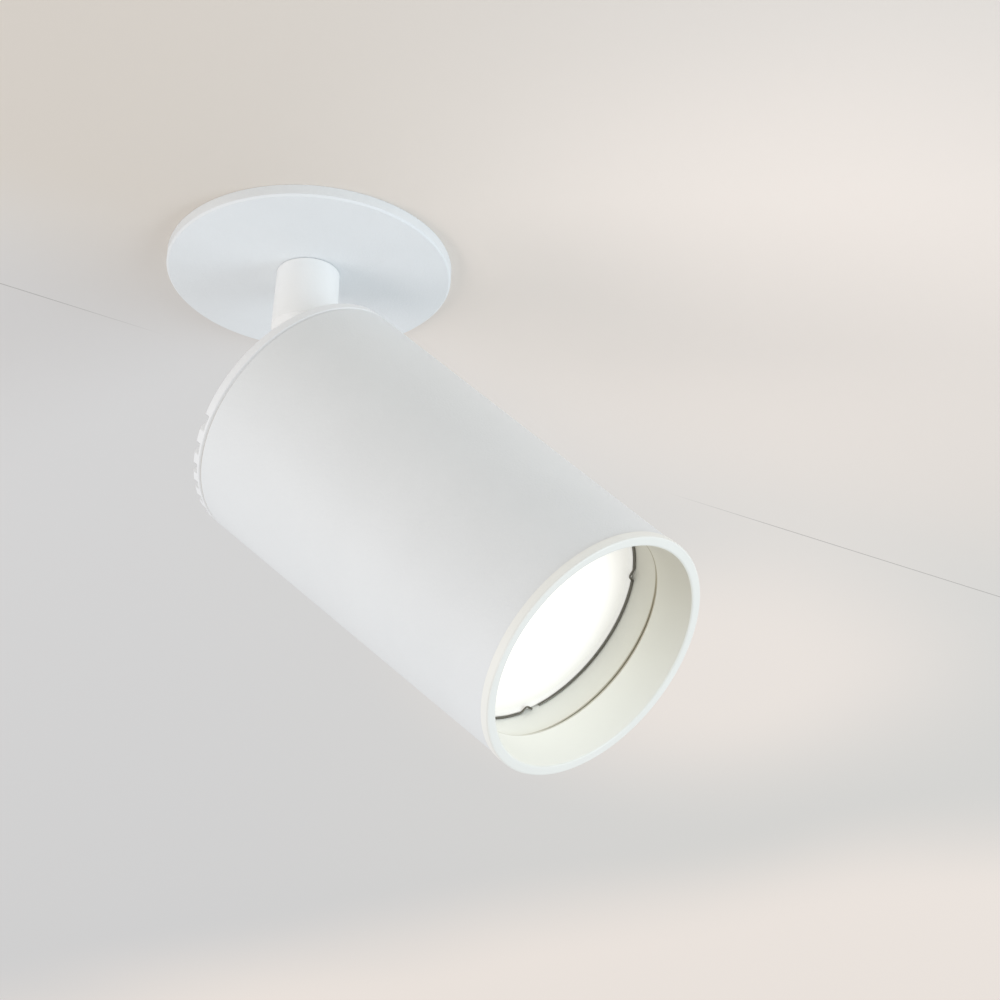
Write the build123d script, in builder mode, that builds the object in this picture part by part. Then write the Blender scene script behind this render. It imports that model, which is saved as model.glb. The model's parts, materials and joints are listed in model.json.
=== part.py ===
"""Adjustable ceiling spot: a round ceiling plate with a recessed collar and two spring clips,
a short stem that turns in the plate, and a cylindrical lamp head that tilts on the end of the stem."""

import os
from math import cos, pi, radians, sin, sqrt

from build123d import *

os.makedirs("parts", exist_ok=True)

# Main sizes, in millimetres and degrees
PLATE_R = 30.9
PLATE_T = 2.7
PLATE_CHAMFER = 0.45
STEM_TOP_R = 6.8
STEM_R = 7.1
STEM_DROP = 36.2
TILT_AT_REST = 46.0
LAMP_R = 24.9
TUBE_WALL = 1.5
TUBE_LENGTH = 93.2
FRONT_BAND = 2.2
CAP_BAND = 2.7
CAP_BELOW_PIVOT = 0.4

# Shared clearances
RUNNING = 0.05
LOOSE = 0.40
LAMP_PLAY = 0.35
EDGE_BREAK = 0.15
CAP_CHAMFER = 0.7

# Fasteners
M3_R = 1.5
M3_HEAD_R = 2.75
M3_HEAD_H = 2.0
M4_R = 2.0
M4_HEAD_R = 3.5
M4_HEAD_H = 2.6
M4_NUT_FLATS = 7.0
M4_NUT_H = 4.0

# Recessed side of the ceiling plate
COLLAR_R = 24.0
COLLAR_WALL = 2.0
COLLAR_H = 9.5
HUB_R = 8.5
HUB_H = 5.0
SPIGOT_R = 5.0
SPIGOT_TOP = 11.8
LEAD_BORE_R = 3.0
POST_Y = 18.6
POST_R = 2.8
TRAY_Z = 13.0
TRAY_T = 1.6
TRAY_R = 15.5
PEG_Y = -10.6
PEG_R = 1.2
PEG_TOP = 7.2

# Spring clips
CLIP_X = 19.0
CLIP_Z = 12.4
PIN_R = 1.25
PIN_HEAD_R = 2.2
ARM_HALF_W = 4.2
ARM_T = 1.0
ARM_EYE_R = 2.4
ARM_REACH = 40.0
LUG_T = 1.0
EAR_T = 2.0
EAR_R = 2.9
COIL_R = 2.3
WIRE_R = 0.4
COIL_TURNS = 3
COIL_PITCH = 1.34
LEG_LEAVES_AT = 70.0

# Swivel stack on the back of the hub
GLIDE_T = 0.6
STOP_T = 1.0
STOP_LUG_Y = 12.2
STOP_LUG_HALF_W = 1.5
SPRING_DISC_T = 0.8
LOCK_NUT_FLATS = 13.0
LOCK_NUT_H = 3.55

# Tilt hinge
TONGUE_HALF_T = 2.45
TONGUE_HALF_W = 4.6
TONGUE_LENGTH = 20.0
SHOULDER_CONE = 2.2
FRICTION_T = 0.5
FRICTION_R = 4.2
YOKE_T = 1.5
YOKE_HALF_W = 4.4
YOKE_BASE_X = 18.5
YOKE_BASE_Y = 6.0
YOKE_SCREW_X = 14.5

# Rear cap with cooling slots
CAP_WEB_T = 4.6
CAP_EDGE = 0.3
BLIND_LEFT = 1.0
CAP_PLUG_DEPTH = 7.0
CAP_PLUG_WALL = 2.0
SLOT_PITCH = 4.1
SLOT_W = 2.1
SLOT_DEPTH = 1.5
SLOT_COUNT = 12
SLOT_END_Y = 8.5
TONGUE_SLOT_END = -18.5
BOLT_WINDOW_X = 10.0
LEAD_HOLE_X = 13.0
LEAD_HOLE_Y = -11.0
GROMMET_R = 3.0
GROMMET_WALL = 0.8
GROMMET_LIP = 1.2
GROMMET_LIP_T = 1.0
INLET_R = 4.5
INLET_LIP = 1.4
INLET_LIP_T = 1.2

# Lamp, lampholder and their seats, measured along the head from the mouth
LIP_W = 2.2
RING_OVERHANG = 0.3
LIP_ROUND = 0.5
THROAT_TAPER = 1.7
RING_DEPTH = 9.5
SLEEVE_WALL = 1.2
REBATE_DEPTH = 0.7
REBATE_L = 0.9
SLEEVE_END_DEPTH = 41.0
WIRE_RING_DEPTH = 17.0
WIRE_RING_WIRE_R = 0.3
EAR_DEPTH = 1.0
EAR_HALF_DEG = 3.8
EAR_1_DEG = 36.5
EAR_2_DEG = 305.0
RING_GAP_DEG = 4.0
BEZEL_W = 0.4
BEZEL_ROUND = 0.2
BEZEL_H = 9.0
BEZEL_STEP = 0.8
BEZEL_STEP_H = 3.0
LENS_SINK = 0.03
LAMP_LENS_T = 2.0
LAMP_LENS_DOME = 0.47
LAMP_LENGTH = 46.4
LAMP_NECK_R = 12.5
LAMP_NECK_H = 8.0
LAMP_NECK_STEP = 2.5
LAMP_NECK_STEP_H = 2.0
LAMP_PIN_X = 5.0
LAMP_PIN_R = 1.6
LAMP_PIN_HEAD_R = 2.4
LAMP_PIN_L = 7.4
LAMP_PIN_HEAD_L = 2.6
CONTACT_PLAY = 0.3
HOLDER_R = 14.0
HOLDER_L = 17.0
HOLDER_STEP = 1.5
HOLDER_RIM_H = 7.0
HOLDER_SCREW_X = 8.4
BRACKET_T = 1.0
BRACKET_HALF_W = 6.0
BRACKET_LEG_X = 12.0

# Levels that follow from the sizes above
SLEEVE_BORE_R = LAMP_R + LAMP_PLAY
INSERT_R = SLEEVE_BORE_R + SLEEVE_WALL
TUBE_BORE_R = INSERT_R + RUNNING
TUBE_R = TUBE_BORE_R + TUBE_WALL
RING_OUTER_R = TUBE_R + RING_OVERHANG
RING_MOUTH_R = RING_OUTER_R - LIP_W
RING_THROAT_R = RING_MOUTH_R - THROAT_TAPER
WIRE_RING_R = SLEEVE_BORE_R - WIRE_RING_WIRE_R
LAMP_LENS_R = LAMP_R - BEZEL_W
PIVOT_Z = -PLATE_T - STEM_DROP
CAP_Z = -CAP_BELOW_PIVOT
SEAM_Z = CAP_Z - CAP_BAND
RING_Z = SEAM_Z - TUBE_LENGTH
MOUTH_Z = RING_Z - FRONT_BAND
WIRE_RING_Z = MOUTH_Z + WIRE_RING_DEPTH
LAMP_FACE_Z = WIRE_RING_Z + WIRE_RING_WIRE_R + RUNNING
LAMP_BASE_Z = LAMP_FACE_Z + LAMP_LENGTH
HOLDER_BACK_Z = LAMP_BASE_Z + HOLDER_L
HOLDER_SCREW_TOP_Z = HOLDER_BACK_Z + BRACKET_T + M3_HEAD_H
YOKE_BASE_Z = CAP_Z - CAP_WEB_T
BRACKET_TOP_Z = YOKE_BASE_Z - YOKE_T
SLEEVE_END_Z = MOUTH_Z + SLEEVE_END_DEPTH
RING_BACK_Z = MOUTH_Z + RING_DEPTH
GLIDE_Z = HUB_H + RUNNING
STOP_Z = GLIDE_Z + GLIDE_T
SPRING_DISC_Z = STOP_Z + STOP_T
LOCK_NUT_Z = SPRING_DISC_Z + SPRING_DISC_T
TRAY_TOP = TRAY_Z + TRAY_T

# Planes of the tilted head: its own cross-section, its middle section and its side section
HEAD = Plane(origin=(0, 0, PIVOT_Z), x_dir=(1, 0, 0), z_dir=(0, sin(radians(TILT_AT_REST)), cos(radians(TILT_AT_REST))))
HEAD_SECTION = Plane(origin=HEAD.origin, x_dir=HEAD.x_dir, z_dir=-HEAD.y_dir)
HEAD_ACROSS = Plane(origin=HEAD.origin, x_dir=HEAD.y_dir, z_dir=HEAD.x_dir)
HEAD_AXIS = Axis(HEAD.origin, HEAD.z_dir)
STEM_ACROSS = Plane(origin=(0, 0, PIVOT_Z), x_dir=(0, 1, 0), z_dir=(1, 0, 0))

# Ceiling plate, one casting with the collar, the swivel hub, the clip ears, the posts and the stop peg
with BuildPart() as ceiling_plate:
    with BuildSketch(Plane.XZ) as plate_section:
        with BuildLine():
            Polyline(
                (SPIGOT_R + RUNNING, 0),
                (SPIGOT_R + RUNNING, -PLATE_T),
                (PLATE_R - PLATE_CHAMFER, -PLATE_T),
                (PLATE_R, -PLATE_T + PLATE_CHAMFER),
                (PLATE_R, 0),
                (COLLAR_R, 0),
                (COLLAR_R, COLLAR_H),
                (COLLAR_R - COLLAR_WALL, COLLAR_H),
                (COLLAR_R - COLLAR_WALL, 0),
                (HUB_R, 0),
                (HUB_R, HUB_H),
                (SPIGOT_R + RUNNING, HUB_H),
                close=True,
            )
        make_face()
    revolve(axis=Axis.Z)
    with BuildSketch(Plane.XY):
        with Locations((0, POST_Y), (0, -POST_Y)):
            Circle(POST_R)
    extrude(amount=TRAY_Z)
    with BuildSketch(Plane.XY):
        with Locations((0, PEG_Y)):
            Circle(PEG_R)
    extrude(amount=PEG_TOP)
    ear_y = ARM_HALF_W + LOOSE
    for side in (1, -1):
        for start in (ear_y, -ear_y - EAR_T):
            with BuildSketch(Plane.XZ.offset(-start)):
                with Locations((side * CLIP_X, CLIP_Z / 2)):
                    Rectangle(2 * EAR_R, CLIP_Z)
                with Locations((side * CLIP_X, CLIP_Z)):
                    Circle(EAR_R)
            extrude(amount=-EAR_T)
        post_in = CLIP_X - COIL_R + WIRE_R + RUNNING
        post_out = CLIP_X + EAR_R
        with BuildSketch(Plane.XY):
            with Locations((side * (post_in + post_out) / 2, 0)):
                Rectangle(post_out - post_in, 2 * ear_y)
        extrude(amount=COLLAR_H - 2.5)
        with BuildSketch(Plane.XZ.offset(-ear_y - EAR_T)):
            with Locations((side * CLIP_X, CLIP_Z)):
                Circle(PIN_R)
        extrude(amount=2 * (ear_y + EAR_T), mode=Mode.SUBTRACT)
    with BuildSketch(Plane.XY.offset(TRAY_Z)):
        with Locations((0, POST_Y), (0, -POST_Y)):
            Circle(M3_R)
    extrude(amount=-8.0, mode=Mode.SUBTRACT)
ceiling_plate.part.label = "ceiling_plate"
export_step(ceiling_plate.part, "parts/ceiling_plate.step")

# Clip pins through the ears, with a head at the near end
with BuildPart() as right_pin:
    with BuildSketch(Plane.XZ.offset(ear_y + EAR_T)):
        with Locations((CLIP_X, CLIP_Z)):
            Circle(PIN_R)
    extrude(amount=-2 * (ear_y + EAR_T) - 1.0)
    with BuildSketch(Plane.XZ.offset(ear_y + EAR_T)):
        with Locations((CLIP_X, CLIP_Z)):
            Circle(PIN_HEAD_R)
    extrude(amount=0.9)
right_pin.part.label = "right_pin"
export_step(right_pin.part, "parts/right_pin.step")

with BuildPart() as left_pin:
    add(mirror(right_pin.part, about=Plane.YZ))
left_pin.part.label = "left_pin"
export_step(left_pin.part, "parts/left_pin.step")

# Clip arms: a sprung blade with an upturned tip, carried by two lugs on the pin
with BuildPart() as right_arm:
    blade_z = CLIP_Z - ARM_EYE_R
    tip_x = ARM_REACH - 5.0
    rise = 3.0
    with BuildSketch(Plane.XZ.offset(-ARM_HALF_W)):
        with BuildLine():
            Polyline(
                (CLIP_X, blade_z),
                (tip_x, blade_z),
                (ARM_REACH, blade_z + rise),
                (ARM_REACH - 0.6, blade_z + rise + ARM_T),
                (tip_x - 0.3, blade_z + ARM_T),
                (CLIP_X, blade_z + ARM_T),
                close=True,
            )
        make_face()
        with Locations((CLIP_X, CLIP_Z)):
            Circle(ARM_EYE_R)
    extrude(amount=2 * ARM_HALF_W)
    with BuildSketch(Plane.XY.offset(blade_z - 1.0)):
        with Locations((CLIP_X, 0)):
            Rectangle(2 * (COIL_R + WIRE_R + 0.5), 2 * (ARM_HALF_W - LUG_T))
    extrude(amount=2 * ARM_EYE_R + 2.0, mode=Mode.SUBTRACT)
    with BuildSketch(Plane.XZ.offset(-ARM_HALF_W)):
        with Locations((CLIP_X, CLIP_Z)):
            Circle(PIN_R + RUNNING)
    extrude(amount=2 * ARM_HALF_W, mode=Mode.SUBTRACT)
right_arm.part.label = "right_arm"
export_step(right_arm.part, "parts/right_arm.step")

with BuildPart() as left_arm:
    add(mirror(right_arm.part, about=Plane.YZ))
left_arm.part.label = "left_arm"
export_step(left_arm.part, "parts/left_arm.step")


def coil_point(angle_deg, along):
    """A point on the middle line of the coil, at an angle about the pin and a place along it."""
    return Vector(CLIP_X + COIL_R * cos(radians(angle_deg)), along, CLIP_Z + COIL_R * sin(radians(angle_deg)))


def coil_tangent(angle_deg, slope):
    """The direction of the wire at an angle, winding clockwise, with its slope along the pin."""
    return Vector(sin(radians(angle_deg)), slope, -cos(radians(angle_deg))).normalized()


def biarc_middle(p0, t0, p1, t1):
    """The point where two tangent arcs from p0 to p1 meet."""
    v = p1 - p0
    t = t0 + t1
    q = 2 * (1 - t0.dot(t1))
    d = (sqrt(v.dot(t) ** 2 + q * v.dot(v)) - v.dot(t)) / q
    return (p0 + t0 * d + p1 - t1 * d) * 0.5


# Torsion springs: a fixed leg down the post, turns round the pin, and a leg out along the blade
sweep_deg = COIL_TURNS * 360 + 180 - LEG_LEAVES_AT
coil_length = COIL_PITCH * sweep_deg / 360
quarters = round(sweep_deg / 90)
step_deg = sweep_deg / quarters
slope = COIL_PITCH / (2 * pi * COIL_R)
fixed_end = Vector(CLIP_X - COIL_R, -coil_length / 2, 2.0)
leg_dir = Vector(sin(radians(LEG_LEAVES_AT)), 0, -cos(radians(LEG_LEAVES_AT)))
leg_start = coil_point(LEG_LEAVES_AT, coil_length / 2)
leg_rest_z = CLIP_Z - ARM_EYE_R + ARM_T + WIRE_R + RUNNING
leg_length = (leg_rest_z - leg_start.Z) / leg_dir.Z
with BuildPart() as right_spring:
    with BuildLine() as spring_path:
        spring_points = [coil_point(180, -coil_length / 2)]
        spring_tangents = [Vector(0, 0, 1)]
        Line(fixed_end, spring_points[0])
        for i in range(1, quarters + 1):
            angle = 180 - i * step_deg
            along = -coil_length / 2 + coil_length * i / quarters
            spring_points.append(coil_point(angle, along))
            spring_tangents.append(leg_dir if i == quarters else coil_tangent(angle, slope))
            p0, p1 = spring_points[-2:]
            t0, t1 = spring_tangents[-2:]
            middle = biarc_middle(p0, t0, p1, t1)
            TangentArc(p0, middle, tangent=t0)
            TangentArc(p1, middle, tangent=-t1)
        Line(leg_start, leg_start + leg_dir * leg_length)
    with BuildSketch(Plane(origin=fixed_end, z_dir=(0, 0, 1))):
        Circle(WIRE_R)
    sweep(path=spring_path.wires()[0])
right_spring.part.label = "right_spring"
export_step(right_spring.part, "parts/right_spring.step")

with BuildPart() as left_spring:
    add(mirror(right_spring.part, about=Plane.YZ))
left_spring.part.label = "left_spring"
export_step(left_spring.part, "parts/left_spring.step")

# Least gap of the spring wire to itself, measured on points a turn or more apart
path_wire = spring_path.wires()[0]
path_length = path_wire.length
samples = [(path_length * k / 600, path_wire.position_at(k / 600)) for k in range(601)]
least = min(
    (a[1] - b[1]).length
    for n, a in enumerate(samples)
    for b in samples[n + 1 :]
    if b[0] - a[0] > pi * COIL_R
)
print("spring wire gap to itself:", round(least - 2 * WIRE_R, 3), "mm")

# Terminal tray on its two posts
with BuildPart() as terminal_tray:
    with BuildSketch(Plane.XY.offset(TRAY_Z)):
        Circle(TRAY_R)
        with Locations((0, POST_Y), (0, -POST_Y)):
            Circle(POST_R)
        Rectangle(2 * POST_R, 2 * POST_Y)
        Circle(LEAD_BORE_R + 1.0, mode=Mode.SUBTRACT)
        with Locations((0, POST_Y), (0, -POST_Y)):
            Circle(M3_R + RUNNING, mode=Mode.SUBTRACT)
    extrude(amount=TRAY_T)
terminal_tray.part.label = "terminal_tray"
export_step(terminal_tray.part, "parts/terminal_tray.step")

# Tray screws
with BuildPart() as tray_screw_front:
    with BuildSketch(Plane.XY.offset(TRAY_TOP)):
        with Locations((0, -POST_Y)):
            Circle(M3_HEAD_R)
    extrude(amount=M3_HEAD_H)
    with BuildSketch(Plane.XY.offset(TRAY_TOP)):
        with Locations((0, -POST_Y)):
            Circle(M3_R)
    extrude(amount=-TRAY_T - 7.0)
    with BuildSketch(Plane.XY.offset(TRAY_TOP + M3_HEAD_H)):
        with Locations((0, -POST_Y)):
            Rectangle(3.4, 0.8)
            Rectangle(0.8, 3.4)
    extrude(amount=-1.1, mode=Mode.SUBTRACT)
tray_screw_front.part.label = "tray_screw_front"
export_step(tray_screw_front.part, "parts/tray_screw_front.step")

with BuildPart() as tray_screw_back:
    add(mirror(tray_screw_front.part, about=Plane.XZ))
tray_screw_back.part.label = "tray_screw_back"
export_step(tray_screw_back.part, "parts/tray_screw_back.step")

# Terminal block with three wire ways and their screw wells
BLOCK_X = 24.0
BLOCK_Y = 11.0
BLOCK_H = 9.4
POLE_PITCH = 8.0
WELL_R = 1.9
WIRE_WAY_R = 1.5
with BuildPart() as terminal_block:
    with BuildSketch(Plane.XY.offset(TRAY_TOP)):
        RectangleRounded(BLOCK_X, BLOCK_Y, 1.2)
    extrude(amount=BLOCK_H)
    with BuildSketch(Plane.XY.offset(TRAY_TOP + BLOCK_H)):
        with GridLocations(POLE_PITCH, 1, 3, 1):
            Circle(WELL_R)
    extrude(amount=-5.0, mode=Mode.SUBTRACT)
    with BuildSketch(Plane.XZ.offset(-BLOCK_Y / 2)):
        with Locations((-POLE_PITCH, TRAY_TOP + 2.6), (0, TRAY_TOP + 2.6), (POLE_PITCH, TRAY_TOP + 2.6)):
            Circle(WIRE_WAY_R)
    extrude(amount=BLOCK_Y, mode=Mode.SUBTRACT)
terminal_block.part.label = "terminal_block"
export_step(terminal_block.part, "parts/terminal_block.step")

# Clamping screws of the terminal block
WELL_FLOOR = TRAY_TOP + BLOCK_H - 5.0
with BuildPart() as terminal_screw_1:
    with BuildSketch(Plane.XY.offset(WELL_FLOOR)):
        with Locations((-POLE_PITCH, 0)):
            Circle(WELL_R - RUNNING)
    extrude(amount=3.2)
    with BuildSketch(Plane.XY.offset(WELL_FLOOR + 3.2)):
        with Locations((-POLE_PITCH, 0)):
            Rectangle(2 * WELL_R, 0.6)
    extrude(amount=-0.9, mode=Mode.SUBTRACT)
terminal_screw_1.part.label = "terminal_screw_1"
export_step(terminal_screw_1.part, "parts/terminal_screw_1.step")

with BuildPart() as terminal_screw_2:
    with Locations((POLE_PITCH, 0, 0)):
        add(terminal_screw_1.part)
terminal_screw_2.part.label = "terminal_screw_2"
export_step(terminal_screw_2.part, "parts/terminal_screw_2.step")

with BuildPart() as terminal_screw_3:
    with Locations((2 * POLE_PITCH, 0, 0)):
        add(terminal_screw_1.part)
terminal_screw_3.part.label = "terminal_screw_3"
export_step(terminal_screw_3.part, "parts/terminal_screw_3.step")

# Terminal cover, a cup that stands on the tray, with the cable inlet in its top
COVER_H = 14.4
COVER_WALL = 1.2
COVER_EDGE = 1.0
with BuildPart() as terminal_cover:
    with BuildSketch(Plane.XZ):
        with BuildLine():
            Polyline(
                (TRAY_R, TRAY_TOP),
                (TRAY_R, TRAY_TOP + COVER_H - COVER_EDGE),
                (TRAY_R - COVER_EDGE, TRAY_TOP + COVER_H),
                (INLET_R, TRAY_TOP + COVER_H),
                (INLET_R, TRAY_TOP + COVER_H - COVER_WALL),
                (TRAY_R - COVER_WALL, TRAY_TOP + COVER_H - COVER_WALL),
                (TRAY_R - COVER_WALL, TRAY_TOP),
                close=True,
            )
        make_face()
    revolve(axis=Axis.Z)
terminal_cover.part.label = "terminal_cover"
export_step(terminal_cover.part, "parts/terminal_cover.step")

# Cable inlet grommet in the cover
INLET_TOP = TRAY_TOP + COVER_H
with BuildPart() as inlet_grommet:
    with BuildSketch(Plane.XZ):
        with BuildLine():
            Polyline(
                (GROMMET_R, INLET_TOP - COVER_WALL - INLET_LIP_T),
                (INLET_R + INLET_LIP, INLET_TOP - COVER_WALL - INLET_LIP_T),
                (INLET_R + INLET_LIP, INLET_TOP - COVER_WALL),
                (INLET_R, INLET_TOP - COVER_WALL),
                (INLET_R, INLET_TOP),
                (INLET_R + INLET_LIP, INLET_TOP),
                (INLET_R + INLET_LIP / 2, INLET_TOP + INLET_LIP_T),
                (GROMMET_R, INLET_TOP + INLET_LIP_T),
                close=True,
            )
        make_face()
    revolve(axis=Axis.Z)
inlet_grommet.part.label = "inlet_grommet"
export_step(inlet_grommet.part, "parts/inlet_grommet.step")

# Stem: hollow spigot through the hub, round stem, cone and flat tongue with the hinge eye
STEM_TOP = -PLATE_T - RUNNING
CONE_TOP = PIVOT_Z + TONGUE_LENGTH + SHOULDER_CONE
CONE_END = PIVOT_Z + TONGUE_LENGTH
LEAD_EXIT_Z = CONE_TOP + 4.0
with BuildPart() as stem:
    with BuildSketch(Plane.XZ):
        with BuildLine():
            Polyline(
                (0, SPIGOT_TOP),
                (SPIGOT_R - 0.6, SPIGOT_TOP),
                (SPIGOT_R, SPIGOT_TOP - 0.6),
                (SPIGOT_R, STEM_TOP),
                (STEM_TOP_R - EDGE_BREAK, STEM_TOP),
                (STEM_TOP_R, STEM_TOP - EDGE_BREAK),
                (STEM_R, CONE_TOP),
                (TONGUE_HALF_W, CONE_END),
                (0, CONE_END),
                close=True,
            )
        make_face()
    revolve(axis=Axis.Z)
    with BuildSketch(STEM_ACROSS.offset(-TONGUE_HALF_T)):
        with Locations((0, (TONGUE_LENGTH + 1.0) / 2)):
            Rectangle(2 * TONGUE_HALF_W, TONGUE_LENGTH + 1.0)
        Circle(TONGUE_HALF_W)
    extrude(amount=2 * TONGUE_HALF_T)
    with BuildSketch(STEM_ACROSS.offset(-TONGUE_HALF_T)):
        Circle(M4_R + RUNNING)
    extrude(amount=2 * TONGUE_HALF_T, mode=Mode.SUBTRACT)
    with BuildSketch(Plane.XY.offset(SPIGOT_TOP)):
        Circle(LEAD_BORE_R)
    extrude(amount=-(SPIGOT_TOP - LEAD_EXIT_Z + LEAD_BORE_R), mode=Mode.SUBTRACT)
    with BuildSketch(Plane.XZ.offset(-STEM_R - 1.0)):
        with Locations((0, LEAD_EXIT_Z)):
            Circle(LEAD_BORE_R - 0.4)
    extrude(amount=STEM_R + 1.0, mode=Mode.SUBTRACT)
stem.part.label = "stem"
export_step(stem.part, "parts/stem.step")

# Swivel stack: glide washer, stop washer with its lug, spring disc and lock nut
with BuildPart() as glide_washer:
    with BuildSketch(Plane.XY.offset(GLIDE_Z)):
        Circle(HUB_R - 0.3)
        Circle(SPIGOT_R, mode=Mode.SUBTRACT)
    extrude(amount=GLIDE_T)
glide_washer.part.label = "glide_washer"
export_step(glide_washer.part, "parts/glide_washer.step")

with BuildPart() as stop_washer:
    with BuildSketch(Plane.XY.offset(STOP_Z)):
        Circle(HUB_R - 0.3)
        with Locations((0, STOP_LUG_Y / 2)):
            Rectangle(2 * STOP_LUG_HALF_W, STOP_LUG_Y)
        Circle(SPIGOT_R, mode=Mode.SUBTRACT)
    extrude(amount=STOP_T)
stop_washer.part.label = "stop_washer"
export_step(stop_washer.part, "parts/stop_washer.step")

with BuildPart() as spring_disc:
    with BuildSketch(Plane.XZ):
        with BuildLine():
            Polyline(
                (SPIGOT_R, SPRING_DISC_Z + 0.35),
                (HUB_R - 0.8, SPRING_DISC_Z),
                (HUB_R - 0.6, SPRING_DISC_Z + 0.4),
                (SPIGOT_R, SPRING_DISC_Z + SPRING_DISC_T),
                close=True,
            )
        make_face()
    revolve(axis=Axis.Z)
spring_disc.part.label = "spring_disc"
export_step(spring_disc.part, "parts/spring_disc.step")

with BuildPart() as lock_nut:
    with BuildSketch(Plane.XY.offset(LOCK_NUT_Z)):
        RegularPolygon(LOCK_NUT_FLATS / 2, 6, major_radius=False)
        Circle(SPIGOT_R, mode=Mode.SUBTRACT)
    extrude(amount=LOCK_NUT_H)
lock_nut.part.label = "lock_nut"
export_step(lock_nut.part, "parts/lock_nut.step")

# Rear cap: web and plug, cooling slots open at the lower rim, hinge slot and lead hole
with BuildPart() as rear_cap:
    with BuildSketch(HEAD_SECTION):
        with BuildLine():
            Polyline(
                (0, CAP_Z),
                (TUBE_R - CAP_EDGE, CAP_Z),
                (TUBE_R, CAP_Z - CAP_EDGE),
                (TUBE_R, SEAM_Z + CAP_CHAMFER),
                (TUBE_R - CAP_CHAMFER, SEAM_Z),
                (INSERT_R, SEAM_Z),
                (INSERT_R, CAP_Z - CAP_PLUG_DEPTH),
                (INSERT_R - CAP_PLUG_WALL, CAP_Z - CAP_PLUG_DEPTH),
                (INSERT_R - CAP_PLUG_WALL, CAP_Z - CAP_WEB_T),
                (0, CAP_Z - CAP_WEB_T),
                close=True,
            )
        make_face()
    revolve(axis=HEAD_AXIS)
    with BuildSketch(HEAD.offset(CAP_Z)):
        with Locations((0, (SLOT_END_Y + TUBE_R + 2) / 2)):
            with GridLocations(SLOT_PITCH, 1, SLOT_COUNT, 1):
                Rectangle(SLOT_W, TUBE_R + 2 - SLOT_END_Y)
    extrude(amount=-SLOT_DEPTH, mode=Mode.SUBTRACT)
    slot_far = TONGUE_HALF_W + 0.9
    with BuildSketch(HEAD.offset(CAP_Z)):
        with Locations((0, (TONGUE_SLOT_END + slot_far) / 2)):
            Rectangle(2 * (TONGUE_HALF_T + LOOSE + 0.05), slot_far - TONGUE_SLOT_END)
        Rectangle(2 * BOLT_WINDOW_X, 2 * (YOKE_HALF_W + 0.5))
        with Locations((LEAD_HOLE_X, LEAD_HOLE_Y)):
            Circle(GROMMET_R + GROMMET_WALL)
    extrude(amount=-CAP_WEB_T, mode=Mode.SUBTRACT)
    with BuildSketch(HEAD.offset(CAP_Z - CAP_WEB_T)):
        with Locations((YOKE_SCREW_X, 0), (-YOKE_SCREW_X, 0)):
            Circle(M3_R)
    extrude(amount=CAP_WEB_T - BLIND_LEFT, mode=Mode.SUBTRACT)
rear_cap.part.label = "rear_cap"
export_step(rear_cap.part, "parts/rear_cap.step")

# Lead grommet in the rear cap
LEAD_PLANE = Plane(origin=HEAD.from_local_coords((LEAD_HOLE_X, LEAD_HOLE_Y, 0)), x_dir=(1, 0, 0), z_dir=-HEAD.y_dir)
with BuildPart() as lead_grommet:
    with BuildSketch(LEAD_PLANE):
        with BuildLine():
            Polyline(
                (GROMMET_R - GROMMET_WALL, CAP_Z - CAP_WEB_T - GROMMET_LIP_T),
                (GROMMET_R + GROMMET_WALL + GROMMET_LIP, CAP_Z - CAP_WEB_T - GROMMET_LIP_T),
                (GROMMET_R + GROMMET_WALL + GROMMET_LIP, CAP_Z - CAP_WEB_T),
                (GROMMET_R + GROMMET_WALL, CAP_Z - CAP_WEB_T),
                (GROMMET_R + GROMMET_WALL, CAP_Z),
                (GROMMET_R + GROMMET_WALL + GROMMET_LIP, CAP_Z),
                (GROMMET_R + GROMMET_WALL + GROMMET_LIP / 2, CAP_Z + GROMMET_LIP_T),
                (GROMMET_R - GROMMET_WALL, CAP_Z + GROMMET_LIP_T),
                close=True,
            )
        make_face()
    revolve(axis=Axis(LEAD_PLANE.origin, HEAD.z_dir))
lead_grommet.part.label = "lead_grommet"
export_step(lead_grommet.part, "parts/lead_grommet.step")

# Hinge yoke: base under the cap and two ears up through its slot
YOKE_IN = TONGUE_HALF_T + RUNNING + FRICTION_T
with BuildPart() as hinge_yoke:
    with BuildSketch(HEAD.offset(YOKE_BASE_Z - YOKE_T)):
        Rectangle(2 * YOKE_BASE_X, 2 * YOKE_BASE_Y)
        with Locations((YOKE_SCREW_X, 0), (-YOKE_SCREW_X, 0)):
            Circle(M3_R + RUNNING, mode=Mode.SUBTRACT)
    extrude(amount=YOKE_T)
    # Wells over the heads of the holder screws, which come up to the base when the tube is short
    with BuildSketch(HEAD.offset(HOLDER_SCREW_TOP_Z + RUNNING)):
        with Locations((HOLDER_SCREW_X, 0), (-HOLDER_SCREW_X, 0)):
            Circle(M3_HEAD_R)
    extrude(amount=-M3_HEAD_H, mode=Mode.SUBTRACT)
    for start in (YOKE_IN, -YOKE_IN - YOKE_T):
        with BuildSketch(HEAD_ACROSS.offset(start)):
            with Locations((0, (YOKE_BASE_Z - 0.5) / 2)):
                Rectangle(2 * YOKE_HALF_W, 0.5 - YOKE_BASE_Z)
            Circle(YOKE_HALF_W)
        extrude(amount=YOKE_T)
        with BuildSketch(HEAD_ACROSS.offset(start)):
            Circle(M4_R)
        extrude(amount=YOKE_T, mode=Mode.SUBTRACT)
hinge_yoke.part.label = "hinge_yoke"
export_step(hinge_yoke.part, "parts/hinge_yoke.step")

# Friction washers either side of the tongue
with BuildPart() as right_friction_washer:
    with BuildSketch(HEAD_ACROSS.offset(YOKE_IN - FRICTION_T)):
        Circle(FRICTION_R)
        Circle(M4_R, mode=Mode.SUBTRACT)
    extrude(amount=FRICTION_T)
right_friction_washer.part.label = "right_friction_washer"
export_step(right_friction_washer.part, "parts/right_friction_washer.step")

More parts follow.
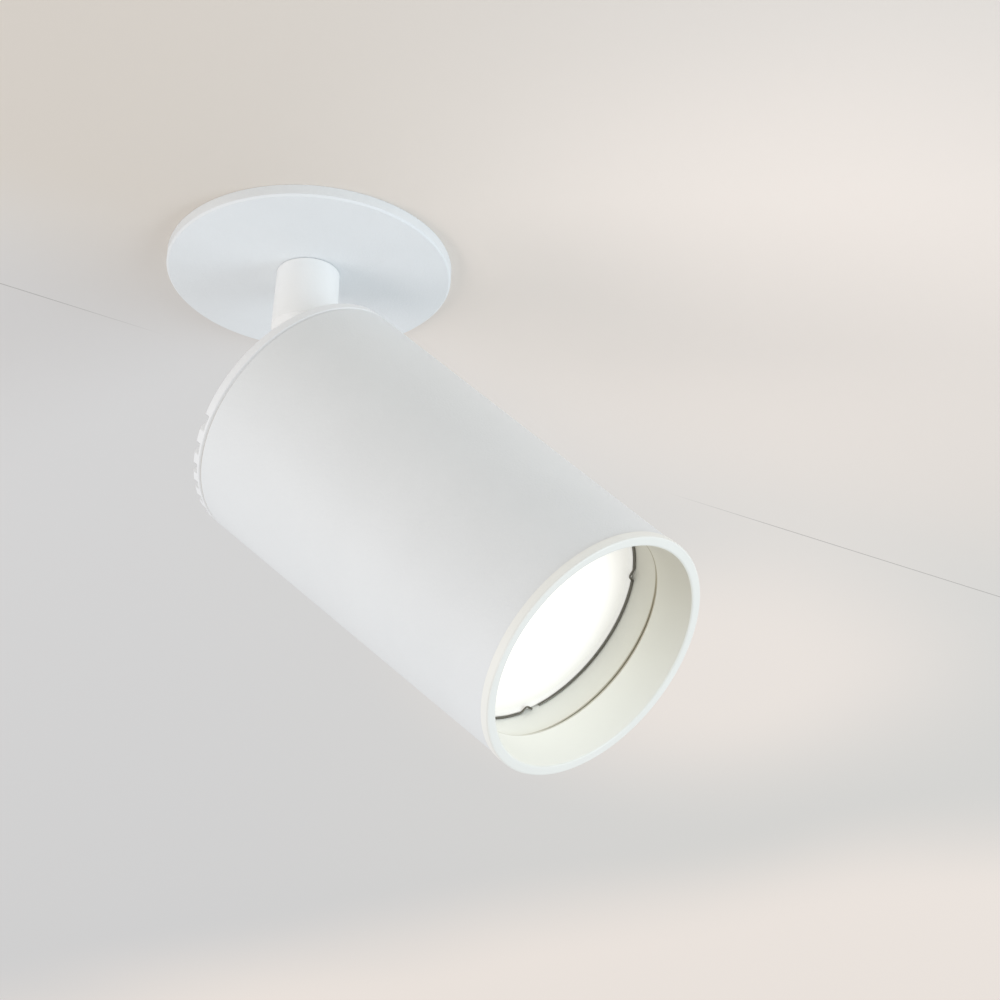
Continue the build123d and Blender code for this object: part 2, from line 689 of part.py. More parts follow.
with BuildPart() as left_friction_washer:
    add(mirror(right_friction_washer.part, about=Plane.YZ))
left_friction_washer.part.label = "left_friction_washer"
export_step(left_friction_washer.part, "parts/left_friction_washer.step")

# Hinge bolt and its nut
YOKE_OUT = YOKE_IN + YOKE_T
with BuildPart() as hinge_bolt:
    with BuildSketch(HEAD_ACROSS.offset(YOKE_OUT)):
        Circle(M4_R)
    extrude(amount=-2 * YOKE_OUT - M4_NUT_H)
    with BuildSketch(HEAD_ACROSS.offset(YOKE_OUT)):
        Circle(M4_HEAD_R)
    extrude(amount=M4_HEAD_H)
    with BuildSketch(HEAD_ACROSS.offset(YOKE_OUT + M4_HEAD_H)):
        RegularPolygon(1.25, 6, major_radius=False)
    extrude(amount=-1.4, mode=Mode.SUBTRACT)
hinge_bolt.part.label = "hinge_bolt"
export_step(hinge_bolt.part, "parts/hinge_bolt.step")

with BuildPart() as hinge_nut:
    with BuildSketch(HEAD_ACROSS.offset(-YOKE_OUT)):
        RegularPolygon(M4_NUT_FLATS / 2, 6, major_radius=False)
        Circle(M4_R, mode=Mode.SUBTRACT)
    extrude(amount=-M4_NUT_H + 0.6)
hinge_nut.part.label = "hinge_nut"
export_step(hinge_nut.part, "parts/hinge_nut.step")

# Lampholder bracket: a bent strip hung under the yoke
BRACKET_FOOT_Z = HOLDER_BACK_Z
with BuildPart() as lamp_bracket:
    with BuildSketch(HEAD_SECTION.offset(-BRACKET_HALF_W)):
        with BuildLine():
            Polyline(
                (YOKE_BASE_X, BRACKET_TOP_Z),
                (YOKE_BASE_X, BRACKET_TOP_Z - BRACKET_T),
                (BRACKET_LEG_X, BRACKET_TOP_Z - BRACKET_T),
                (BRACKET_LEG_X, BRACKET_FOOT_Z),
                (-BRACKET_LEG_X, BRACKET_FOOT_Z),
                (-BRACKET_LEG_X, BRACKET_TOP_Z - BRACKET_T),
                (-YOKE_BASE_X, BRACKET_TOP_Z - BRACKET_T),
                (-YOKE_BASE_X, BRACKET_TOP_Z),
                (-BRACKET_LEG_X + BRACKET_T, BRACKET_TOP_Z),
                (-BRACKET_LEG_X + BRACKET_T, BRACKET_FOOT_Z + BRACKET_T),
                (BRACKET_LEG_X - BRACKET_T, BRACKET_FOOT_Z + BRACKET_T),
                (BRACKET_LEG_X - BRACKET_T, BRACKET_TOP_Z),
                close=True,
            )
        make_face()
    extrude(amount=2 * BRACKET_HALF_W)
    with BuildSketch(HEAD.offset(BRACKET_TOP_Z)):
        with Locations((YOKE_SCREW_X, 0), (-YOKE_SCREW_X, 0)):
            Circle(M3_R + RUNNING)
    extrude(amount=-BRACKET_T, mode=Mode.SUBTRACT)
    with BuildSketch(HEAD.offset(BRACKET_FOOT_Z)):
        with Locations((HOLDER_SCREW_X, 0), (-HOLDER_SCREW_X, 0)):
            Circle(M3_R + RUNNING)
        Circle(2.6)
    extrude(amount=BRACKET_T, mode=Mode.SUBTRACT)
lamp_bracket.part.label = "lamp_bracket"
export_step(lamp_bracket.part, "parts/lamp_bracket.step")

# Screws that hold the yoke and the bracket to the cap
with BuildPart() as right_yoke_screw:
    with BuildSketch(HEAD.offset(BRACKET_TOP_Z - BRACKET_T)):
        with Locations((YOKE_SCREW_X, 0)):
            Circle(M3_R)
    extrude(amount=BRACKET_T + YOKE_T + CAP_WEB_T - 1.5 * BLIND_LEFT)
    with BuildSketch(HEAD.offset(BRACKET_TOP_Z - BRACKET_T)):
        with Locations((YOKE_SCREW_X, 0)):
            Circle(M3_HEAD_R - 0.35)
    extrude(amount=-M3_HEAD_H)
right_yoke_screw.part.label = "right_yoke_screw"
export_step(right_yoke_screw.part, "parts/right_yoke_screw.step")

with BuildPart() as left_yoke_screw:
    add(mirror(right_yoke_screw.part, about=Plane.YZ))
left_yoke_screw.part.label = "left_yoke_screw"
export_step(left_yoke_screw.part, "parts/left_yoke_screw.step")

# Lampholder with two contact holes and two screw holes
with BuildPart() as lamp_holder:
    with BuildSketch(HEAD_SECTION):
        with BuildLine():
            Polyline(
                (0, LAMP_BASE_Z),
                (HOLDER_R, LAMP_BASE_Z),
                (HOLDER_R, LAMP_BASE_Z + HOLDER_RIM_H),
                (HOLDER_R - HOLDER_STEP, LAMP_BASE_Z + HOLDER_RIM_H + HOLDER_STEP),
                (HOLDER_R - HOLDER_STEP, HOLDER_BACK_Z),
                (0, HOLDER_BACK_Z),
                close=True,
            )
        make_face()
    revolve(axis=HEAD_AXIS)
    with BuildSketch(HEAD.offset(LAMP_BASE_Z)):
        with Locations((0, LAMP_PIN_X), (0, -LAMP_PIN_X)):
            Circle(LAMP_PIN_HEAD_R + CONTACT_PLAY)
    extrude(amount=LAMP_PIN_L, mode=Mode.SUBTRACT)
    with BuildSketch(HEAD.offset(HOLDER_BACK_Z)):
        with Locations((HOLDER_SCREW_X, 0), (-HOLDER_SCREW_X, 0)):
            Circle(M3_R)
    extrude(amount=-6.5, mode=Mode.SUBTRACT)
lamp_holder.part.label = "lamp_holder"
export_step(lamp_holder.part, "parts/lamp_holder.step")

# Screws that hold the lampholder to its bracket
with BuildPart() as right_holder_screw:
    with BuildSketch(HEAD.offset(BRACKET_FOOT_Z + BRACKET_T)):
        with Locations((HOLDER_SCREW_X, 0)):
            Circle(M3_R)
    extrude(amount=-BRACKET_T - 6.0)
    with BuildSketch(HEAD.offset(BRACKET_FOOT_Z + BRACKET_T)):
        with Locations((HOLDER_SCREW_X, 0)):
            Circle(M3_HEAD_R - 0.35)
    extrude(amount=M3_HEAD_H)
right_holder_screw.part.label = "right_holder_screw"
export_step(right_holder_screw.part, "parts/right_holder_screw.step")

with BuildPart() as left_holder_screw:
    add(mirror(right_holder_screw.part, about=Plane.YZ))
left_holder_screw.part.label = "left_holder_screw"
export_step(left_holder_screw.part, "parts/left_holder_screw.step")

# Lamp body: base, flared housing and front bezel with a seat for the lens
with BuildPart() as lamp_body:
    with BuildSketch(HEAD_SECTION):
        with BuildLine():
            Polyline(
                (0, LAMP_BASE_Z),
                (LAMP_NECK_R, LAMP_BASE_Z),
                (LAMP_NECK_R, LAMP_BASE_Z - LAMP_NECK_H),
                (LAMP_NECK_R + LAMP_NECK_STEP, LAMP_BASE_Z - LAMP_NECK_H - LAMP_NECK_STEP_H),
                (LAMP_R - BEZEL_STEP, LAMP_FACE_Z + BEZEL_H + BEZEL_STEP_H),
                (LAMP_R, LAMP_FACE_Z + BEZEL_H),
                (LAMP_R, LAMP_FACE_Z + BEZEL_ROUND),
                (LAMP_R - BEZEL_ROUND, LAMP_FACE_Z),
                (LAMP_LENS_R, LAMP_FACE_Z),
                (LAMP_LENS_R, LAMP_FACE_Z + LAMP_LENS_T),
                (0, LAMP_FACE_Z + LAMP_LENS_T),
                close=True,
            )
        make_face()
    revolve(axis=HEAD_AXIS)
lamp_body.part.label = "lamp_body"
export_step(lamp_body.part, "parts/lamp_body.step")

# Lamp lens, slightly domed
dome_r = (LAMP_LENS_R**2 + LAMP_LENS_DOME**2) / (2 * LAMP_LENS_DOME)
crown_z = LAMP_FACE_Z + LENS_SINK
half_way_z = crown_z + dome_r - sqrt(dome_r**2 - (LAMP_LENS_R / 2) ** 2)
with BuildPart() as lamp_lens:
    with BuildSketch(HEAD_SECTION):
        with BuildLine():
            Polyline(
                (0, crown_z),
                (0, LAMP_FACE_Z + LAMP_LENS_T),
                (LAMP_LENS_R, LAMP_FACE_Z + LAMP_LENS_T),
                (LAMP_LENS_R, crown_z + LAMP_LENS_DOME),
            )
            ThreePointArc((LAMP_LENS_R, crown_z + LAMP_LENS_DOME), (LAMP_LENS_R / 2, half_way_z), (0, crown_z))
        make_face()
    revolve(axis=HEAD_AXIS)
lamp_lens.part.label = "lamp_lens"
export_step(lamp_lens.part, "parts/lamp_lens.step")

# Lamp contact pins, a shank with a wider twist-lock head
with BuildPart() as upper_lamp_pin:
    with BuildSketch(HEAD.offset(LAMP_BASE_Z)):
        with Locations((0, -LAMP_PIN_X)):
            Circle(LAMP_PIN_R)
    extrude(amount=LAMP_PIN_L)
    with BuildSketch(HEAD.offset(LAMP_BASE_Z + LAMP_PIN_L)):
        with Locations((0, -LAMP_PIN_X)):
            Circle(LAMP_PIN_HEAD_R)
    extrude(amount=-LAMP_PIN_HEAD_L)
upper_lamp_pin.part.label = "upper_lamp_pin"
export_step(upper_lamp_pin.part, "parts/upper_lamp_pin.step")

with BuildPart() as lower_lamp_pin:
    with BuildSketch(HEAD.offset(LAMP_BASE_Z)):
        with Locations((0, LAMP_PIN_X)):
            Circle(LAMP_PIN_R)
    extrude(amount=LAMP_PIN_L)
    with BuildSketch(HEAD.offset(LAMP_BASE_Z + LAMP_PIN_L)):
        with Locations((0, LAMP_PIN_X)):
            Circle(LAMP_PIN_HEAD_R)
    extrude(amount=-LAMP_PIN_HEAD_L)
lower_lamp_pin.part.label = "lower_lamp_pin"
export_step(lower_lamp_pin.part, "parts/lower_lamp_pin.step")

# Head tube
with BuildPart() as head_tube:
    with BuildSketch(HEAD_SECTION):
        with BuildLine():
            Polyline(
                (TUBE_BORE_R, SEAM_Z),
                (TUBE_R - EDGE_BREAK, SEAM_Z),
                (TUBE_R, SEAM_Z - EDGE_BREAK),
                (TUBE_R, RING_Z + EDGE_BREAK),
                (TUBE_R - EDGE_BREAK, RING_Z),
                (TUBE_BORE_R, RING_Z),
                close=True,
            )
        make_face()
    revolve(axis=HEAD_AXIS)
head_tube.part.label = "head_tube"
export_step(head_tube.part, "parts/head_tube.step")

# Front ring: rounded lip and a tapered throat that plugs into the tube
with BuildPart() as front_ring:
    with BuildSketch(HEAD_SECTION) as ring_section:
        with BuildLine():
            Polyline(
                (RING_MOUTH_R, MOUTH_Z),
                (RING_OUTER_R, MOUTH_Z),
                (RING_OUTER_R, RING_Z),
                (INSERT_R, RING_Z),
                (INSERT_R, RING_BACK_Z),
                (RING_THROAT_R, RING_BACK_Z),
                close=True,
            )
        make_face()
        lip_corners = [v for v in ring_section.vertices() if abs(HEAD_SECTION.to_local_coords(v).Y - MOUTH_Z) < 0.01]
        fillet(lip_corners, LIP_ROUND)
    revolve(axis=HEAD_AXIS)
front_ring.part.label = "front_ring"
export_step(front_ring.part, "parts/front_ring.step")

# Lamp sleeve behind the front ring, with a shadow gap at its front; the wire ring springs against its bore
with BuildPart() as lamp_sleeve:
    with BuildSketch(HEAD_SECTION):
        with BuildLine():
            Polyline(
                (SLEEVE_BORE_R + REBATE_DEPTH, RING_BACK_Z),
                (INSERT_R, RING_BACK_Z),
                (INSERT_R, SLEEVE_END_Z),
                (SLEEVE_BORE_R, SLEEVE_END_Z),
                (SLEEVE_BORE_R, RING_BACK_Z + REBATE_L),
                (SLEEVE_BORE_R + REBATE_DEPTH, RING_BACK_Z + REBATE_L),
                close=True,
            )
        make_face()
    revolve(axis=HEAD_AXIS)
lamp_sleeve.part.label = "lamp_sleeve"
export_step(lamp_sleeve.part, "parts/lamp_sleeve.step")


def ring_point(angle_deg, radius):
    """A point on the wire ring, at an angle from the head's side towards its under side."""
    return HEAD.from_local_coords((radius * cos(radians(angle_deg)), radius * sin(radians(angle_deg)), WIRE_RING_Z))


def ring_tangent(angle_deg):
    """The direction of the wire ring at an angle."""
    return HEAD.from_local_coords((-sin(radians(angle_deg)), cos(radians(angle_deg)), 0)) - HEAD.origin


# Sprung wire ring that keeps the lamp in, with two ears bent inwards to squeeze it by
ear_1 = (EAR_1_DEG - EAR_HALF_DEG, EAR_1_DEG + EAR_HALF_DEG)
ear_2 = (EAR_2_DEG - EAR_HALF_DEG, EAR_2_DEG + EAR_HALF_DEG)
ring_end = ear_1[0] + 360 - RING_GAP_DEG
a0 = ear_1[0]
with BuildPart() as wire_ring:
    with BuildLine() as ring_path:
        for (first, last), stop in ((ear_1, ear_2[0]), (ear_2, ring_end)):
            Spline(
                ring_point(first, WIRE_RING_R),
                ring_point((first + last) / 2, WIRE_RING_R - EAR_DEPTH),
                ring_point(last, WIRE_RING_R),
                tangents=[ring_tangent(first), ring_tangent(last)],
            )
            ThreePointArc(
                ring_point(last, WIRE_RING_R),
                ring_point((last + stop) / 2, WIRE_RING_R),
                ring_point(stop, WIRE_RING_R),
            )
    with BuildSketch(Plane(origin=ring_point(a0, WIRE_RING_R), z_dir=ring_tangent(a0))):
        Circle(WIRE_RING_WIRE_R)
    sweep(path=ring_path.wires()[0])
wire_ring.part.label = "wire_ring"
export_step(wire_ring.part, "parts/wire_ring.step")
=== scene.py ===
"""Dresses the adjustable ceiling spot: finer turned and wound surfaces over the fixed frame,
finishes for every part, a pale ceiling, soft light and the camera below it."""

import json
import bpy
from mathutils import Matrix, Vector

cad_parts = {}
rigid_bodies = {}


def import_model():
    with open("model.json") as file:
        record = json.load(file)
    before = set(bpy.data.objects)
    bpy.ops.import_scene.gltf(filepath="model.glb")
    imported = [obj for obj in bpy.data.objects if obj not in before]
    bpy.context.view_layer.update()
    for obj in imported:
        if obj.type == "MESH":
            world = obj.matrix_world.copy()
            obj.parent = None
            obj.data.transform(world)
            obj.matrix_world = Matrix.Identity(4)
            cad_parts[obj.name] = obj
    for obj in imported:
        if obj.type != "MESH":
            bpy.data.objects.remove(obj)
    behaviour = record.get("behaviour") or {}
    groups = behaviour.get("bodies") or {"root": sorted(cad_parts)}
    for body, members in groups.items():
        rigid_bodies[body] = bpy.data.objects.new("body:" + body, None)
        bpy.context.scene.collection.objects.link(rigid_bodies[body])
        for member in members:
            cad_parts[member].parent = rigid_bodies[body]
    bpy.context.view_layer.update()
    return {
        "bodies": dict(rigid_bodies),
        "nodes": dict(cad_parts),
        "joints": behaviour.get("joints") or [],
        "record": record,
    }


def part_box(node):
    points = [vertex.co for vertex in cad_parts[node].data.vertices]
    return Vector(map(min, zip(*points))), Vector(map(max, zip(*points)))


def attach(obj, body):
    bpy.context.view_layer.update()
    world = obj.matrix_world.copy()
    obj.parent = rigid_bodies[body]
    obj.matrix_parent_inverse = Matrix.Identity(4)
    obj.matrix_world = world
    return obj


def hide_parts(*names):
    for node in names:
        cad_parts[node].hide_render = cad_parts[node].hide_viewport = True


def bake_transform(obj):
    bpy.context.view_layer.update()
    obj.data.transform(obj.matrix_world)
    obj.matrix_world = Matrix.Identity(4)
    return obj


bl_info = {
    "name": "Adjustable Ceiling Spot",
    "version": (1, 0, 0),
    "blender": (4, 5, 0),
    "location": "3D View > Sidebar > Ceiling Spot",
    "description": "Builds the visible surfaces, finishes and stage of an adjustable ceiling spot",
    "category": "Add Mesh",
}

import bpy
import numpy as np
from bpy.props import FloatProperty, FloatVectorProperty, IntProperty, PointerProperty
from mathutils import Matrix

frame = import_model()

MM = 0.001
TAU = 2 * np.pi
JOINTS = {joint["name"]: joint for joint in frame["joints"]}
PIVOT = np.array(JOINTS["tilt"]["pos_m"], float)
# Tilt of the head's axis from upright in the rest pose
REST_TILT = np.radians(46.0)
# Rounding that the shading gives to the fixed parts' sharp edges
EDGE_SOFT = 0.12 * MM
# Rounding of the sharp edges inside the mouth
FINE_ROUND = 0.06 * MM
# Play of the front ring's plug in the tube
PLUG_PLAY = 0.05 * MM
# Thickness of the lens's flange
FLANGE_T = 0.02 * MM
# How near to a wall or to an edge a point of a profile counts as on it
ON_WALL = 0.02 * MM
NEAR_EDGE = 0.2 * MM
# Steps from the lens's middle to its rim
DOME_STEPS = 48
# Steps along the wires: round the retaining ring, along a spring's coil and its two legs
RING_STEPS = 721
COIL_STEPS = 420
FIXED_LEG_STEPS = 40
FREE_LEG_STEPS = 60
# The ceiling's height above the plate's flat face, and its outer radius
CEILING_LIFT = 0.02 * MM
CEILING_EDGE = 6.0
# Sockets of a Mix node that mixes colours
FACTOR, FIRST, SECOND, MIXED = 0, 6, 7, 2

# The head's own axes in the shared frame: across, towards the under side, and towards the rear
HEAD_ACROSS = np.array([1.0, 0.0, 0.0])
HEAD_UNDER = np.array([0.0, np.cos(REST_TILT), -np.sin(REST_TILT)])
HEAD_REAR = np.array([0.0, np.sin(REST_TILT), np.cos(REST_TILT)])
HEAD_AXES = np.stack([HEAD_ACROSS, HEAD_UNDER, HEAD_REAR])


def to_head(mesh):
    """A mesh's points in the head's own axes, as an array of rows."""
    points = np.empty(len(mesh.vertices) * 3, np.float32)
    mesh.vertices.foreach_get("co", points)
    return (points.reshape(-1, 3).astype(float) - PIVOT) @ HEAD_AXES.T


def from_head(local):
    """Points given in the head's own axes, moved into the shared frame."""
    return PIVOT + local @ HEAD_AXES


def head_reach(name):
    """Least and greatest radius of a head part about the head's axis, then its front and rear
    places along it."""
    local = to_head(frame["nodes"][name].data)
    radius = np.hypot(local[:, 0], local[:, 1])
    return radius.min(), radius.max(), local[:, 2].min(), local[:, 2].max()


def linear(hex_colour):
    """An sRGB hex value as linear red, green and blue."""
    srgb = np.array([hex_colour >> 16 & 255, hex_colour >> 8 & 255, hex_colour & 255]) / 255
    low = srgb / 12.92
    high = ((srgb + 0.055) / 1.055) ** 2.4
    return tuple(float(value) for value in np.where(srgb <= 0.04045, low, high))


TUBE_REACH = head_reach("head_tube")
RING_REACH = head_reach("front_ring")
SLEEVE_REACH = head_reach("lamp_sleeve")
LENS_REACH = head_reach("lamp_lens")
WIRE_REACH = head_reach("wire_ring")


class SpotSizes(bpy.types.PropertyGroup):
    """Sizes of the surfaces that this script turns and winds."""

    around: IntProperty(
        name="Steps around", description="Steps round a turned part",
        default=256, min=32, max=720,
    )
    edge_break: FloatProperty(
        name="Edge break", description="Rounding of the tube's machined edges",
        default=0.15 * MM, precision=5, unit="LENGTH",
    )
    gap_depth: FloatProperty(
        name="Shadow gap depth",
        description="Depth of the gap in the lamp sleeve behind the front ring",
        default=0.7 * MM, precision=5, unit="LENGTH",
    )
    gap_length: FloatProperty(
        name="Shadow gap length",
        description="Length of the gap in the lamp sleeve behind the front ring",
        default=0.9 * MM, precision=5, unit="LENGTH",
    )
    # Painted shadow: width of the brown line along the throat's rear edge and in the sleeve's gap
    painted_shade_edge: FloatProperty(
        name="Worn edge",
        description="Width of the worn coat along the throat's rear edge and the sleeve's gap",
        default=0.3 * MM, precision=5, unit="LENGTH",
    )
    dulled: FloatProperty(
        name="Dulled share",
        description="How far handling has dulled the coat on the front ring's lip",
        default=0.13, min=0, max=1,
    )
    # Painted shade on the mouth's walls, growing towards the under side
    painted_under_shade: FloatProperty(
        name="Dusty share",
        description="How far dust has dulled the coat on the mouth's under side",
        default=0.12, min=0, max=1,
    )
    # Painted shade on the mouth's walls, growing towards the upper side
    painted_upper_shade: FloatProperty(
        name="Yellowed share",
        description="How far the lamp's heat has yellowed the coat on the mouth's upper side",
        default=0.58, min=0, max=1,
    )
    lip_round: FloatProperty(
        name="Lip rounding", description="Rounding of the front ring's lip",
        default=0.5 * MM, precision=5, unit="LENGTH",
    )
    lip_width: FloatProperty(
        name="Lip width", description="Width of the flat white lip round the mouth",
        default=2.2 * MM, precision=5, unit="LENGTH",
    )
    front_band: FloatProperty(
        name="Front band", description="Length of the front ring that shows in front of the tube",
        default=2.2 * MM, precision=5, unit="LENGTH",
    )
    lens_dome: FloatProperty(
        name="Lens dome", description="Rise of the lamp lens at its middle",
        default=0.47 * MM, precision=5, unit="LENGTH",
    )
    lens_sink: FloatProperty(
        name="Lens sink", description="How far the lens lies behind the lamp's face at its middle",
        default=0.03 * MM, precision=5, unit="LENGTH",
    )
    lens_flange: FloatProperty(
        name="Lens flange", description="Width of the lens's flange over the lamp's rim",
        default=0.35 * MM, precision=5, unit="LENGTH",
    )
    ring_wire: FloatProperty(
        name="Retaining wire", description="Radius of the retaining ring's wire",
        default=0.22 * MM, precision=5, unit="LENGTH",
    )
    ear_depth: FloatProperty(
        name="Ear depth", description="How far the retaining ring's ears bend inwards",
        default=1.0 * MM, precision=5, unit="LENGTH",
    )
    ear_half: FloatProperty(
        name="Ear half angle", description="Half of the angle that one ear takes",
        default=np.radians(3.8), subtype="ANGLE",
    )
    first_ear: FloatProperty(
        name="First ear",
        description="Place of the ear at the wire's start, from the side towards the under side",
        default=np.radians(36.5), subtype="ANGLE",
    )
    second_ear: FloatProperty(
        name="Second ear",
        description="Place of the other ear, from the side towards the under side",
        default=np.radians(305.0), subtype="ANGLE",
    )
    wire_gap: FloatProperty(
        name="Wire gap", description="Angle left open between the two ends of the retaining ring",
        default=np.radians(4.0), subtype="ANGLE",
    )
    spring_wire: FloatProperty(
        name="Spring wire", description="Radius of the clip springs' wire",
        default=0.4 * MM, precision=5, unit="LENGTH",
    )
    coil_radius: FloatProperty(
        name="Coil radius",
        description="Radius of the clip springs' coils at the middle of the wire",
        default=2.3 * MM, precision=5, unit="LENGTH",
    )
    coil_pitch: FloatProperty(
        name="Coil pitch", description="Step of the clip springs' coils along the pin",
        default=1.34 * MM, precision=5, unit="LENGTH",
    )
    coil_turns: IntProperty(
        name="Coil turns", description="Whole turns of a clip spring",
        default=3, min=1, max=8,
    )
    leg_leaves: FloatProperty(
        name="Leg leaves at",
        description="Angle about the pin at which the free leg leaves the coil",
        default=np.radians(70.0), subtype="ANGLE",
    )


class SpotColours(bpy.types.PropertyGroup):
    """Colours of the finishes."""

    coat: FloatVectorProperty(
        name="Powder coat", description="White powder coat of the plate and the tube",
        default=linear(0xE6EAEC), subtype="COLOR", min=0, max=1,
    )
    stem: FloatVectorProperty(
        name="Stem paint", description="White paint of the stem",
        default=linear(0xF2F3F2), subtype="COLOR", min=0, max=1,
    )
    cap: FloatVectorProperty(
        name="Rear cap", description="White satin coat of the rear cap",
        default=linear(0xEEF1F3), subtype="COLOR", min=0, max=1,
    )
    ring: FloatVectorProperty(
        name="Front ring", description="White satin coat of the front ring and the lamp sleeve",
        default=linear(0xF2F4F0), subtype="COLOR", min=0, max=1,
    )
    lens_middle: FloatVectorProperty(
        name="Lens middle", description="Light of the lamp lens at its middle",
        default=linear(0xFFF8E4), subtype="COLOR", min=0, max=1,
    )
    lens_rim: FloatVectorProperty(
        name="Lens rim", description="Light of the lamp lens near its rim, before it dims",
        default=linear(0xF0EFEA), subtype="COLOR", min=0, max=1,
    )
    lens_strength: FloatProperty(
        name="Lens strength", description="Brightness of the lit lens, where 1 is white",
        default=1.6, min=0, max=20,
    )


class SpotStage(bpy.types.PropertyGroup):
    """The pale ceiling, the light and the camera."""

    ceiling_shade: FloatVectorProperty(
        name="Ceiling, darker end", description="Colour of the ceiling where the room is darker",
        default=linear(0xDAD3CA), subtype="COLOR", min=0, max=1,
    )
    ceiling_pale: FloatVectorProperty(
        name="Ceiling, paler end", description="Colour of the ceiling where the room is brighter",
        default=linear(0xE3DED8), subtype="COLOR", min=0, max=1,
    )
    beyond_shade: FloatVectorProperty(
        name="Beyond the joint, darker end",
        description="Colour beyond the joint line where the room is darker",
        default=linear(0xDCDBDA), subtype="COLOR", min=0, max=1,
    )
    beyond_pale: FloatVectorProperty(
        name="Beyond the joint, paler end",
        description="Colour beyond the joint line where the room is brighter",
        default=linear(0xE0DEDA), subtype="COLOR", min=0, max=1,
    )
    ceiling_glow: FloatVectorProperty(
        name="Warm light",
        description="Colour of the warm patches that the room's light throws on the ceiling",
        default=linear(0xF8EFE7), subtype="COLOR", min=0, max=1,
    )
    hole: FloatProperty(
        name="Ceiling edge",
        description="Radius at which the ceiling begins, just inside the plate's rim",
        default=30.85 * MM, precision=4, unit="LENGTH",
    )
    world: FloatProperty(
        name="Surrounding light", description="Strength of the even light from all round",
        default=0.735, min=0, max=5,
    )
    lens: FloatProperty(
        name="Camera lens", description="Focal length for a sensor 36 mm wide",
        default=184.6, min=10, max=1000, unit="CAMERA",
    )


def unit(vectors):
    """Vectors in the same directions, of length 1."""
    return vectors / np.linalg.norm(vectors, axis=-1, keepdims=True)


def angles(steps):
    """Equal steps of angle round a full turn."""
    return np.linspace(0, TAU, steps, endpoint=False)


def end_spaced(steps):
    """Places from 0 to 1, drawn close together at both ends: half of one less the cosine of a
    half turn."""
    return (1 - np.cos(np.linspace(0, np.pi, steps))) / 2


def rounded(corners, radii, arc_steps=6, support=0.05 * MM, most=0.45):
    """A closed profile with rounded corners. Each corner gives way to a quarter sweep between the
    points where its two sides touch the rounding: the quadratic blend of first point, corner and
    last point. A support point just beyond each end, at most a set share of its side away, keeps
    the flats flat when shaded smooth."""
    corners = np.array(corners, float)
    before = np.roll(corners, 1, axis=0) - corners
    after = np.roll(corners, -1, axis=0) - corners
    before_length = np.linalg.norm(before, axis=1, keepdims=True)
    after_length = np.linalg.norm(after, axis=1, keepdims=True)
    before = before / before_length
    after = after / after_length
    radii = np.array(radii, float).reshape(-1, 1)
    enter = corners + before * radii
    leave = corners + after * radii
    enter_support = corners + before * np.minimum(radii + support, before_length * most)
    leave_support = corners + after * np.minimum(radii + support, after_length * most)
    t = np.linspace(0, 1, arc_steps).reshape(1, -1, 1)
    bend = (1 - t) ** 2 * enter[:, None] + 2 * t * (1 - t) * corners[:, None]
    bend = bend + t**2 * leave[:, None]
    rows = np.concatenate([enter_support[:, None], bend, leave_support[:, None]], axis=1)
    return rows.reshape(-1, 2)


def new_piece(name, points, faces):
    """Puts points and faces into a mesh at the origin, smooth and facing outwards. The faces are
    turned round where the volume, the sum of each corner triple's box product over six, comes out
    negative."""
    faces = [np.array(part) for part in faces if len(part)]
    triangles = np.concatenate(
        [part[:, [0, i, i + 1]] for part in faces for i in range(1, part.shape[1] - 1)]
    )
    a, b, c = points[triangles[:, 0]], points[triangles[:, 1]], points[triangles[:, 2]]
    if np.einsum("ij,ij->i", a, np.cross(b, c)).sum() < 0:
        faces = [part[:, ::-1] for part in faces]
    mesh = bpy.data.meshes.new(name)
    mesh.from_pydata(points, [], [face for part in faces for face in part.tolist()])
    mesh.polygons.foreach_set("use_smooth", np.ones(len(mesh.polygons), bool))
    mesh.update()
    if mesh.validate():
        raise RuntimeError(f"{name} has faulty faces")
    piece = bpy.data.objects.new(name, mesh)
    bpy.context.scene.collection.objects.link(piece)
    return piece


def ring_faces(index):
    """Four-sided faces between each row of a grid of point numbers and the next, closed round its
    columns."""
    right = np.roll(index, -1, axis=1)
    return np.stack([index[:-1], right[:-1], right[1:], index[1:]], axis=-1).reshape(-1, 4)


def swept(profile, around):
    """A profile of radius and height turned round an axis: the point at an angle is the radius
    times its cosine, the radius times its sine, and the height along the axis."""
    angle = angles(around)
    grid = np.empty((len(profile), around, 3))
    grid[..., 0] = profile[:, :1] * np.cos(angle)
    grid[..., 1] = profile[:, :1] * np.sin(angle)
    grid[..., 2] = profile[:, 1:]
    return grid


def turned_loop(name, profile, around):
    """A closed profile turned round the head's axis into a closed ring-shaped solid. Its angle goes
    from the side towards the under side."""
    index = np.arange(len(profile) * around).reshape(-1, around)
    faces = ring_faces(np.concatenate([index, index[:1]]))
    return new_piece(name, from_head(swept(profile, around)).reshape(-1, 3), [faces])


def capped(name, grid):
    """A grid of rings closed at both ends: the first and the last row shrink to one point each,
    joined by fans."""
    rows, around = grid.shape[:2]
    first_point, last_point = grid[0].mean(0)[None], grid[-1].mean(0)[None]
    points = np.concatenate([first_point, grid[1:-1].reshape(-1, 3), last_point])
    index = np.arange((rows - 2) * around).reshape(rows - 2, around) + 1
    first, last = index[0], index[-1]
    start_fan = np.stack([np.zeros(around, int), np.roll(first, -1), first], axis=-1)
    end_fan = np.stack([np.full(around, len(points) - 1), last, np.roll(last, -1)], axis=-1)
    return new_piece(name, points, [ring_faces(index), start_fan, end_fan])


